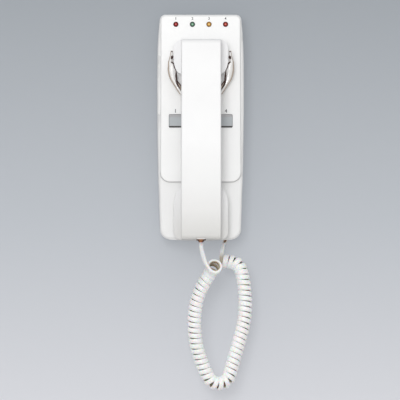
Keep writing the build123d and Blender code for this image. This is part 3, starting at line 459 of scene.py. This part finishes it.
def cordFinish():
    look = cordVinyl
    finish, tree, shader = newFinish("cordVinyl")
    coords = objectCoords(tree)
    colour = addTones(tree, addNoise(tree, coords, *look["cloud"]), look["dark"], look["light"])
    # Painted shade inside the coil and towards the handset
    inside = addNode(tree, "ShaderNodeAttribute", attribute_name="inside").outputs["Fac"]
    insideShade = addRamp(tree, inside, look["insideShadeTones"])
    share = addSpan(tree, addAlong(tree, coords, look["handsetShadeWay"]), *look["handsetShadeSpan"])
    handsetShaded = addBlend(tree, "MULTIPLY", colour, addRamp(tree, share, look["handsetShadeTones"]))
    tree.links.new(addBlend(tree, "MULTIPLY", handsetShaded, insideShade), shader.inputs["Base Color"])
    addPolish(tree, shader, addNoise(tree, coords, *look["polish"]), *look["roughness"])
    shader.inputs["Subsurface Weight"].default_value = look["softness"]
    shader.inputs["Subsurface Scale"].default_value = look["softDepth"]
    addGrain(tree, shader, coords, *look["grain"])
    return finish


def makeCord():
    helix, centres = coilPoints()
    handset, base = curlyCord["handsetLead"], curlyCord["baseLead"]
    handsetEnd = helix[0] - (helix[1] - helix[0]).normalized() * handset["end"]
    baseEnd = helix[-1] + (helix[-1] - helix[-2]).normalized() * base["end"]
    controls = [
        handset["exit"], *handset["points"], handsetEnd,
        *helix, baseEnd, *base["points"], base["exit"],
    ]
    points = splinePoints("cordLine", controls, curlyCord["wireSteps"])
    along = runLengths(points)
    cord = tubeMesh("curlyCord", points, *wireShape(points, along, helix, centres))
    cord.data.materials.append(cordFinish())
    print("cord made:", len(points), "points,", round(along[-1], 4), "m")
    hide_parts("cord_coil", "cord_handset_lead", "cord_base_lead")
    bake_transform(cord)


makeCord()

# Painted shade: the handset's plastic is darker towards its lower end and a little darker at its top end
handsetPaintedShade = {
    "foot": -0.11,
    "top": 0.03,
    "tones": [
        (0.0, (0.76, 0.75, 0.73)), (0.066, (0.82, 0.815, 0.795)), (0.206, (0.925, 0.92, 0.91)),
        (0.381, (0.965, 0.965, 0.96)), (0.695, (1.0, 1.0, 1.0)), (0.974, (0.93, 0.93, 0.93)),
    ],
}
# Painted shade: the handset's rear shell is darker towards its lower end
gripPaintedShade = {
    "foot": -0.11,
    "top": 0.0,
    "tones": [
        (0.0, (0.80, 0.79, 0.77)), (0.22, (0.87, 0.87, 0.86)),
        (0.5, (0.95, 0.95, 0.95)), (1.0, (1.0, 1.0, 1.0)),
    ],
}
# Each button has a painted shadow as a dark line along its foot, and a warm tone along its top
buttonPaintedShadow = {
    "foot": -0.001,
    "top": 0.013,
    "tones": [
        (0.128, (0.035, 0.022, 0.016)), (0.155, (0.98, 0.95, 0.94)), (0.25, (1.0, 1.0, 1.0)),
        (0.72, (1.0, 1.0, 1.0)), (0.80, (0.93, 0.87, 0.86)),
    ],
}
# Plastics and metals of the CAD nodes; the case shell is a darker copy of the panel's white and the rear
# shell a darker copy of the front shell's white, as painted shade
plasticTones = {
    "caseShell": {"light": (0.85, 0.85, 0.845), "dark": (0.83, 0.83, 0.825), "roughness": 0.36},
    "panelShell": {"light": (0.90, 0.90, 0.895), "dark": (0.88, 0.88, 0.875), "roughness": 0.34},
    "handsetShell": {
        "light": (0.935, 0.935, 0.935), "dark": (0.915, 0.915, 0.915), "roughness": 0.34,
        "paintedShade": handsetPaintedShade,
    },
    "gripShell": {
        "light": (0.84, 0.84, 0.845), "dark": (0.82, 0.82, 0.825), "roughness": 0.36,
        "paintedShade": gripPaintedShade,
    },
    "buttonCap": {
        "light": (0.445, 0.472, 0.490), "dark": (0.415, 0.442, 0.460), "roughness": 0.42,
        "grainScale": 1600, "grainStrength": 0.25, "paintedShade": buttonPaintedShadow,
    },
    "innerBlack": {"light": (0.05, 0.05, 0.05), "dark": (0.03, 0.03, 0.032), "roughness": 0.5},
    "leverPlastic": {"light": (0.74, 0.74, 0.72), "dark": (0.70, 0.70, 0.68), "roughness": 0.45},
    "boardLacquer": {"light": (0.07, 0.26, 0.12), "dark": (0.05, 0.2, 0.09), "roughness": 0.4},
}
metalTones = {
    "plainSteel": {"light": (0.62, 0.62, 0.61), "dark": (0.5, 0.5, 0.5)},
    "terminalBrass": {"light": (0.72, 0.55, 0.26), "dark": (0.62, 0.45, 0.2)},
}

# Fork: bright plating, with a warm painted reflection where its edges turn away
forkPlating = {
    "streak": (40, 5),
    "dark": (0.90, 0.89, 0.875),
    "light": (0.95, 0.945, 0.935),
    "edgeReflectionTones": [
        (0.05, (0.66, 0.56, 0.50)), (0.25, (1.0, 1.0, 1.0)),
        (0.76, (1.0, 1.0, 1.0)), (0.9, (0.56, 0.42, 0.31)),
    ],
    "roughness": (0.1, 0.2),
    "metallic": 0.45,
}


def forkFinish():
    look = forkPlating
    finish, tree, shader = newFinish("forkPlating")
    coords = objectCoords(tree)
    streak = addNoise(tree, coords, *look["streak"])
    colour = addTones(tree, streak, look["dark"], look["light"])
    # How far the surface faces away from the middle, on either horn
    side = addNode(tree, "ShaderNodeMath", operation="SIGN")
    tree.links.new(addAxis(tree, coords, "X"), side.inputs[0])
    normal = addNode(tree, "ShaderNodeTexCoord").outputs["Normal"]
    outward = addNode(tree, "ShaderNodeMath", operation="MULTIPLY")
    tree.links.new(addAxis(tree, normal, "X"), outward.inputs[0])
    tree.links.new(side.outputs[0], outward.inputs[1])
    # Painted reflection: warm tones where the surface faces towards or away from the middle
    edgeReflection = addRamp(tree, addSpan(tree, outward.outputs[0], -1, 1), look["edgeReflectionTones"])
    tree.links.new(addBlend(tree, "MULTIPLY", colour, edgeReflection), shader.inputs["Base Color"])
    addPolish(tree, shader, streak, *look["roughness"])
    shader.inputs["Metallic"].default_value = look["metallic"]
    return finish


# Boots with painted shade: the handset's is dark at its sides and warm down its middle, the case's
# leans, is dark brown down its middle and has pale sides
bootRubber = {"polish": (300, 3), "roughness": (0.42, 0.56), "grain": (1200, 0.2, 0.00004)}
bootShadeTones = {
    "bootFlare": {
        "across": (1, 0, 0), "span": (-0.0044, 0.0044),
        "tones": [
            (0.0, (0.16, 0.09, 0.06)), (0.16, (0.05, 0.022, 0.014)), (0.44, (0.36, 0.15, 0.05)),
            (0.6, (0.30, 0.12, 0.04)), (0.78, (0.04, 0.018, 0.012)), (1.0, (0.05, 0.024, 0.016)),
        ],
    },
    "bootSleeve": {
        "across": (0.94, 0, -0.342), "span": (0.0590, 0.0628),
        "tones": [
            (0.0, (0.62, 0.56, 0.48)), (0.2, (0.50, 0.42, 0.34)), (0.36, (0.17, 0.075, 0.035)),
            (0.62, (0.15, 0.065, 0.03)), (0.8, (0.55, 0.45, 0.37)), (1.0, (0.70, 0.65, 0.58)),
        ],
    },
}


def bootFinish(name, look):
    # Rubber whose tone, painted shade, runs across the boot
    finish, tree, shader = newFinish(name)
    coords = objectCoords(tree)
    share = addSpan(tree, addAlong(tree, coords, look["across"]), *look["span"])
    tree.links.new(addRamp(tree, share, look["tones"]), shader.inputs["Base Color"])
    polish = addNoise(tree, coords, *bootRubber["polish"])
    addPolish(tree, shader, polish, *bootRubber["roughness"])
    addGrain(tree, shader, coords, *bootRubber["grain"])
    return finish


# Lamps: clear coloured lenses, with a pale painted highlight over the heart and painted shade at the rim
lampLook = {
    "radius": 0.0025,
    "stops": (0.0, 0.16, 0.5, 0.95),
    "roughness": 0.16,
    "specular": 0.3,
    "colours": {
        "led_1": ((0.62, 0.12, 0.11), (0.22, 0.003, 0.004), (0.08, 0.002, 0.002)),
        "led_2": ((0.30, 0.56, 0.38), (0.08, 0.17, 0.11), (0.03, 0.055, 0.04)),
        "led_3": ((0.95, 0.66, 0.26), (0.50, 0.24, 0.03), (0.22, 0.10, 0.02)),
        "led_4": ((0.74, 0.20, 0.14), (0.27, 0.007, 0.005), (0.10, 0.004, 0.003)),
    },
}


def lampLens(lamp, heart, body, rim):
    finish, tree, shader = newFinish(lamp + "Lens")
    low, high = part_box(lamp)
    centre = (low + high) / 2
    scale = 1 / lampLook["radius"]
    spread = addNode(
        tree, "ShaderNodeMapping", vector_type="POINT",
        Location=(-centre.x * scale, 0, -centre.z * scale), Scale=(scale, 0, scale),
    )
    tree.links.new(objectCoords(tree), spread.inputs["Vector"])
    radius = addNode(tree, "ShaderNodeVectorMath", operation="LENGTH")
    tree.links.new(spread.outputs["Vector"], radius.inputs[0])
    # Painted highlight at the heart, painted shade towards the rim
    stops = list(zip(lampLook["stops"], (heart, heart, body, rim)))
    tree.links.new(addRamp(tree, radius.outputs["Value"], stops), shader.inputs["Base Color"])
    shader.inputs["Roughness"].default_value = lampLook["roughness"]
    shader.inputs["Specular IOR Level"].default_value = lampLook["specular"]
    return finish


def dress(piece, finish):
    piece.data.materials.clear()
    piece.data.materials.append(finish)


finishes = {name: mouldedPlastic(name, **tones) for name, tones in plasticTones.items()}
finishes.update((name, bareMetal(name, **tones)) for name, tones in metalTones.items())
finishes.update((name, bootFinish(name, look)) for name, look in bootShadeTones.items())
finishes["forkPlating"] = forkFinish()
finishNodes = {
    "caseShell": ["front_case", "back_plate"],
    "panelShell": ["front_panel"],
    "handsetShell": ["handset_front_shell"],
    "gripShell": ["handset_rear_shell"],
    "buttonCap": ["call_button_1", "call_button_2", "call_button_3", "call_button_4"],
    "innerBlack": [
        "call_switches", "hook_switch", "buzzer", "terminal_block",
        "receiver_capsule", "receiver_ring", "microphone_capsule", "microphone_boot",
    ],
    "leverPlastic": ["hook_lever"],
    "boardLacquer": ["circuit_board"],
    "plainSteel": [
        "case_screws", "board_screws", "handset_screws", "hook_pin", "hook_spring", "led_leads",
    ],
    "terminalBrass": ["terminal_screws"],
    "bootFlare": ["handset_boot"],
    "bootSleeve": ["base_boot"],
    "forkPlating": ["hook_fork"],
}
for name, dressed in finishNodes.items():
    for node in dressed:
        dress(nodes[node], finishes[name])
for lamp, colours in lampLook["colours"].items():
    dress(nodes[lamp], lampLens(lamp, *colours))
print("finishes set")

# Beads on the fork: a dark bead of painted shade along the inner edge of each horn, its short branch and
# the tan web between, dark finger tips of painted shade, and a tan rim of painted reflection along the
# outer edge, whose spots are looked for inwards; the tan web is painted reflection too
forkBeads = {
    "edge": {
        "path": [
            (-0.0291, 0.0635), (-0.0261, 0.0618), (-0.0243, 0.0565), (-0.0239, 0.0500),
            (-0.0240, 0.0440), (-0.0228, 0.0408), (-0.0205, 0.0376), (-0.0170, 0.0345),
        ],
        "radii": [0.8, 1.15, 0.5, 1.6, 1.3, 1.15, 1.15, 1.15],
    },
    "branch": {
        "path": [
            (-0.0240, 0.0466), (-0.0226, 0.0442), (-0.0207, 0.0416),
            (-0.0188, 0.0390), (-0.0176, 0.0362), (-0.0180, 0.0338),
        ],
        "radii": [0.6, 0.8, 0.9, 0.9, 0.8, 0.6], "level": 0.0,
    },
    "web": {
        "path": [
            (-0.0238, 0.0448), (-0.0224, 0.0424), (-0.0204, 0.0396),
            (-0.0186, 0.0366), (-0.0183, 0.0345),
        ],
        "radii": [0.5, 1.0, 1.3, 1.0, 0.6], "level": 0.0004, "tan": True,
    },
    "rim": {
        "path": [
            (-0.0330, 0.0640), (-0.0330, 0.0580), (-0.0325, 0.0520), (-0.0312, 0.0460),
            (-0.0285, 0.0405), (-0.0250, 0.0358), (-0.0215, 0.0320),
        ],
        "radii": [0.6, 1.0, 1.1, 1.0, 0.8, 0.7, 0.7], "inward": True, "tan": True,
    },
    "tip": {
        "path": [(-0.0282, 0.0694), (-0.0281, 0.0680), (-0.0288, 0.0664)],
        "radii": [1.4, 1.9, 1.2],
    },
    "cap": {
        "path": [(-0.0290, 0.0736), (-0.0284, 0.0736), (-0.0278, 0.0735)],
        "radii": [0.6, 0.9, 0.6],
    },
}
forkSearch = {"step": 0.0001, "count": 60, "bladeFront": -0.030}
beadLook = {"radius": 0.00075, "routeSteps": 4, "roundness": 3}
# Dark painted shade, and tan painted reflection, for the beads
paintedShadeFinish = mouldedPlastic(
    "forkPaintedShade", light=(0.05, 0.016, 0.011), dark=(0.034, 0.011, 0.008), roughness=0.5,
)
paintedReflectionFinish = mouldedPlastic(
    "forkPaintedReflection", light=(0.45, 0.37, 0.30), dark=(0.40, 0.33, 0.27), roughness=0.35,
)
rayStart = -0.08


def frontSpot(node, across, height):
    # Spot of a node that is met first from ahead
    start = Vector((across, rayStart, height))
    met, spot = nodes[node].ray_cast(start, Vector((0, 1, 0)))[:2]
    return spot if met else None


def forkFront(across, height, inward):
    # Front of the fork's blade at a place, moved outwards or inwards until the blade is met
    way = math.copysign(forkSearch["step"], -across if inward else across)
    for number in range(forkSearch["count"]):
        spot = frontSpot("hook_fork", across + way * number, height)
        if spot is not None and spot.y < forkSearch["bladeFront"]:
            return spot
    return None


def selectOnly(piece):
    bpy.ops.object.select_all(action="DESELECT")
    piece.select_set(True)
    bpy.context.view_layer.objects.active = piece


def roundBead(name, spots, shares, radius):
    # Round bead along the spots, turned into a mesh
    curve = bpy.data.curves.new(name, "CURVE")
    curve.dimensions = "3D"
    curve.bevel_depth = radius
    curve.bevel_resolution = beadLook["roundness"]
    curve.use_fill_caps = True
    spline = curve.splines.new("POLY")
    spline.points.add(len(spots) - 1)
    for point, spot, share in zip(spline.points, spots, shares):
        point.co = (*spot, 1)
        point.radius = share
    bead = bpy.data.objects.new(name, curve)
    bpy.context.scene.collection.objects.link(bead)
    selectOnly(bead)
    bpy.ops.object.convert(target="MESH")
    bpy.ops.object.shade_smooth()
    return bpy.context.object


def radiusShare(radii, share):
    # Radius at a share of the way along a bead
    place = share * (len(radii) - 1)
    index = min(int(place), len(radii) - 2)
    return radii[index] + (place - index) * (radii[index + 1] - radii[index])


def makeBead(name, look, side):
    controls = [(side * x, 0, z) for x, z in look["path"]]
    route = splinePoints(name + "Route", controls, beadLook["routeSteps"])
    spots = [forkFront(point.x, point.z, "inward" in look) for point in route]
    met = [i for i, spot in enumerate(spots) if spot is not None]
    if "level" in look:
        depth = spots[met[0]].y + look["level"]
        spots = [Vector((point.x, depth, point.z)) for point in route]
        met = range(len(spots))
    shares = [radiusShare(look["radii"], i / (len(route) - 1)) for i in met]
    bead = roundBead(name, [spots[i] for i in met], shares, beadLook["radius"])
    dress(bead, paintedReflectionFinish if "tan" in look else paintedShadeFinish)
    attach(bead, "hook")


for part, look in forkBeads.items():
    for side, word in ((1, "Left"), (-1, "Right")):
        makeBead(part + "Bead" + word, look, side)
print("fork lined")

# White seal in the gap beside and above the front panel, which ends above the panel's lower corners
panelSeal = {
    "depth": 0.0292,
    "radius": 0.00034,
    "topHalf": 0.03905,
    "footHalf": 0.03953,
    "top": 0.10905,
    "foot": -0.0440,
    "corner": 0.0047,
    "cornerSteps": 9,
}


def makeSeal():
    look = panelSeal
    corner, steps = look["corner"], look["cornerSteps"]
    across, height = look["topHalf"] - corner, look["top"] - corner
    arc = [math.radians(90 - 90 / steps * i) for i in range(steps + 1)]
    right = [(across + corner * math.cos(a), height + corner * math.sin(a)) for a in arc]
    right.append((look["footHalf"], look["foot"]))
    path = [(-x, z) for x, z in reversed(right)] + right
    spots = [(x, -look["depth"], z) for x, z in path]
    seal = roundBead("panelSeal", spots, [1] * len(path), look["radius"])
    dress(seal, finishes["caseShell"])
    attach(seal, "base")


makeSeal()

# Shallow lip that bows below the case's lower edge, seen under the handset
caseLip = {
    "halfWidth": 0.031,
    "front": 0.0285,
    "rear": 0.0225,
    "edge": -0.1100,
    "drop": 0.0012,
    "root": 0.0006,
    "sides": 1080,
    "blockDepth": 0.02,
    "blockHeight": 0.01,
    "smoothAngle": 30,
}


def makeLip():
    # A flat slice of a wide cylinder
    look = caseLip
    radius = look["halfWidth"] ** 2 / (2 * look["drop"])
    depth = -(look["front"] + look["rear"]) / 2
    bpy.ops.object.select_all(action="DESELECT")
    bpy.ops.mesh.primitive_cylinder_add(
        vertices=look["sides"], radius=radius, depth=look["front"] - look["rear"],
        location=(0, depth, look["edge"] - look["drop"] + radius),
        rotation=(math.radians(90), 0, 0),
    )
    lip = bpy.context.object
    lip.name = "caseLip"
    blockPlace = look["edge"] + look["root"] - look["blockHeight"] / 2
    bpy.ops.mesh.primitive_cube_add(size=1, location=(0, depth, blockPlace))
    block = bpy.context.object
    block.scale = (look["halfWidth"] * 2, look["blockDepth"], look["blockHeight"])
    selectOnly(lip)
    cut = lip.modifiers.new("cut", "BOOLEAN")
    cut.operation = "INTERSECT"
    cut.object = block
    bpy.ops.object.modifier_apply(modifier="cut")
    bpy.data.objects.remove(block)
    bpy.ops.object.transform_apply(location=True, rotation=True, scale=True)
    bpy.ops.object.shade_smooth_by_angle(angle=math.radians(look["smoothAngle"]))
    dress(lip, finishes["caseShell"])
    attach(lip, "base")


makeLip()

# Pale rim on the handset's lower end, and the flat collar between it and the boot
bootRims = {
    "bootRim": {
        "height": -0.1092, "halfWidth": 0.0043, "halfHeight": 0.0006, "halfDepth": 0.0007,
        "round": 0.00055, "finish": "caseShell", "slot": "handset_white",
    },
    "bootCollar": {
        "height": -0.1103, "halfWidth": 0.0047, "halfHeight": 0.0006, "halfDepth": 0.0014,
        "round": 0.0005, "finish": "bootFlare", "slot": "boot_brown",
    },
}
roundSegments = 4


def makeRim(name, look, depth):
    bpy.ops.object.select_all(action="DESELECT")
    bpy.ops.mesh.primitive_cube_add(size=2, location=(0, depth, look["height"]))
    rim = bpy.context.object
    rim.name = name
    rim.scale = (look["halfWidth"], look["halfDepth"], look["halfHeight"])
    bpy.ops.object.transform_apply(location=True, rotation=True, scale=True)
    soften = rim.modifiers.new("soften", "BEVEL")
    soften.width = look["round"]
    soften.segments = roundSegments
    bpy.ops.object.modifier_apply(modifier="soften")
    bpy.ops.object.shade_smooth()
    dress(rim, finishes[look["finish"]])
    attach(rim, "handset")


shellFront = frontSpot("handset_front_shell", 0, bootRims["bootRim"]["height"]).y
for name, look in bootRims.items():
    makeRim(name, look, shellFront)
print("seal, lip and rims made")

# Printed digits on the front panel, above the lamps and above the buttons: a plain stroke is the 1
printedMarks = {
    "tilt": 89.37,
    "panelTop": 0.1089,
    "panelDepth": 0.0316,
    "panelSlope": 0.01106,
    "ink": 0.00004,
    "glyphs": "l234",
    "weights": (0.00014, 0.00006, 0.00006, 0.00006),
    "rows": {
        "lampMark": {"height": 0.1061, "size": 0.0036, "pitch": 0.0162},
        "buttonMark": {"height": 0.0156, "size": 0.0048, "pitch": 0.0165},
    },
}
inkFinish = mouldedPlastic(
    "printInk", light=(0.10, 0.10, 0.11), dark=(0.07, 0.07, 0.08), roughness=0.6,
)


def printDigit(row, mark, number):
    look = printedMarks
    depth = look["panelDepth"] + (look["panelTop"] - mark["height"]) * look["panelSlope"]
    across = (number - (len(look["glyphs"]) + 1) / 2) * mark["pitch"]
    bpy.ops.object.select_all(action="DESELECT")
    bpy.ops.object.text_add(
        location=(across, -depth, mark["height"]), rotation=(math.radians(look["tilt"]), 0, 0),
    )
    digit = bpy.context.object
    digit.name = f"{row}{number}"
    digit.data.body = look["glyphs"][number - 1]
    digit.data.align_x = "CENTER"
    digit.data.align_y = "CENTER"
    digit.data.size = mark["size"]
    digit.data.extrude = look["ink"]
    digit.data.offset = look["weights"][number - 1]
    bpy.ops.object.convert(target="MESH")
    bpy.ops.object.transform_apply(location=True, rotation=True, scale=True)
    dress(digit, inkFinish)
    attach(digit, "base")


for row, mark in printedMarks["rows"].items():
    for number in (1, 2, 3, 4):
        printDigit(row, mark, number)
print("digits printed")

# Stage: a grey wall that glows a little, so that shadows on it stay faint, and a pale floor far below
stageLook = {
    "wallSize": 3.0,
    "wallPlace": 0.004,
    "wallTop": 0.124,
    "wallFoot": -0.267,
    "wallShades": [
        (0.0, (0.645, 0.655, 0.69)), (0.45, (0.49, 0.515, 0.55)), (1.0, (0.35, 0.375, 0.404)),
    ],
    "paintShare": 0.6,
    "glow": 0.455,
    "roughness": 0.9,
    "specular": 0.1,
    "floorSize": 6,
    "floorPlace": -0.34,
    "floorPaint": {
        "light": (0.80, 0.79, 0.77), "dark": (0.78, 0.77, 0.75), "roughness": 0.7,
        "grainScale": 60, "grainStrength": 0.05,
    },
}


def wallFinish():
    finish, tree, shader = newFinish("wallPaint")
    height = addAxis(tree, objectCoords(tree), "Z")
    rise = addSpan(tree, height, stageLook["wallFoot"], stageLook["wallTop"])
    shades = stageLook["wallShades"]
    share = stageLook["paintShare"]
    paint = [(place, tuple(tone * share for tone in colour)) for place, colour in shades]
    tree.links.new(addRamp(tree, rise, paint), shader.inputs["Base Color"])
    tree.links.new(addRamp(tree, rise, shades), shader.inputs["Emission Color"])
    shader.inputs["Emission Strength"].default_value = stageLook["glow"]
    shader.inputs["Roughness"].default_value = stageLook["roughness"]
    shader.inputs["Specular IOR Level"].default_value = stageLook["specular"]
    return finish


def clearBehind(finish):
    # The stage is clear from behind, so that the object is seen from the back and from below
    tree = finish.node_tree
    clear = addNode(tree, "ShaderNodeBsdfTransparent")
    side = addNode(tree, "ShaderNodeNewGeometry")
    mix = addNode(tree, "ShaderNodeMixShader")
    tree.links.new(side.outputs["Backfacing"], mix.inputs["Fac"])
    tree.links.new(tree.nodes["Principled BSDF"].outputs["BSDF"], mix.inputs[1])
    tree.links.new(clear.outputs["BSDF"], mix.inputs[2])
    tree.links.new(mix.outputs["Shader"], tree.nodes["Material Output"].inputs["Surface"])
    return finish


def makeStage():
    bpy.ops.object.select_all(action="DESELECT")
    bpy.ops.mesh.primitive_plane_add(
        size=stageLook["wallSize"], location=(0, stageLook["wallPlace"], 0),
        rotation=(math.radians(90), 0, 0),
    )
    wall = bpy.context.object
    wall.name = "stageWall"
    bpy.ops.object.transform_apply(location=True, rotation=True, scale=True)
    wall.data.materials.append(clearBehind(wallFinish()))
    bpy.ops.object.select_all(action="DESELECT")
    bpy.ops.mesh.primitive_plane_add(
        size=stageLook["floorSize"], location=(0, 0, stageLook["floorPlace"]),
    )
    floor = bpy.context.object
    floor.name = "stageFloor"
    floorFinish = mouldedPlastic("floorPaint", **stageLook["floorPaint"])
    floor.data.materials.append(clearBehind(floorFinish))


makeStage()

# Light: a near soft lamp above the front, in an even room that is bright ahead and dark at its sides
studioLight = {
    "place": (-0.30, -2.14, 0.32),
    "aim": (0, 0, -0.06),
    "size": 0.75,
    "power": 14.9,
    "roomStrength": 0.60,
    "roomShades": [
        (0.0, (0.40, 0.35, 0.30)), (0.46, (0.30, 0.24, 0.18)), (0.58, (0.12, 0.08, 0.055)),
        (0.7, (0.85, 0.87, 0.88)), (0.8, (0.97, 0.985, 1.0)),
    ],
    "skyShades": [(0.0, (0.0, 0.0, 0.0)), (0.62, (0.0, 0.0, 0.0)), (0.92, (0.95, 0.95, 0.96))],
}


def makeLamp():
    place = Vector(studioLight["place"])
    bpy.ops.object.light_add(type="AREA", location=place)
    lamp = bpy.context.object
    lamp.name = "keyLamp"
    lamp.data.size = studioLight["size"]
    lamp.data.energy = studioLight["power"]
    lamp.rotation_euler = turnTo(Vector(studioLight["aim"]) - place)


def makeRoom():
    world = bpy.context.scene.world or bpy.data.worlds.new("studioWorld")
    bpy.context.scene.world = world
    world.use_nodes = True
    tree = world.node_tree
    coords = addNode(tree, "ShaderNodeTexCoord").outputs["Generated"]
    ahead = addSpan(tree, addAxis(tree, coords, "Y"), 1, -1)
    above = addSpan(tree, addAxis(tree, coords, "Z"), -1, 1)
    room = addRamp(tree, ahead, studioLight["roomShades"])
    sky = addRamp(tree, above, studioLight["skyShades"])
    back = tree.nodes["Background"]
    tree.links.new(addBlend(tree, "ADD", room, sky), back.inputs["Color"])
    back.inputs["Strength"].default_value = studioLight["roomStrength"]


makeLamp()
makeRoom()
print("stage and lights set")
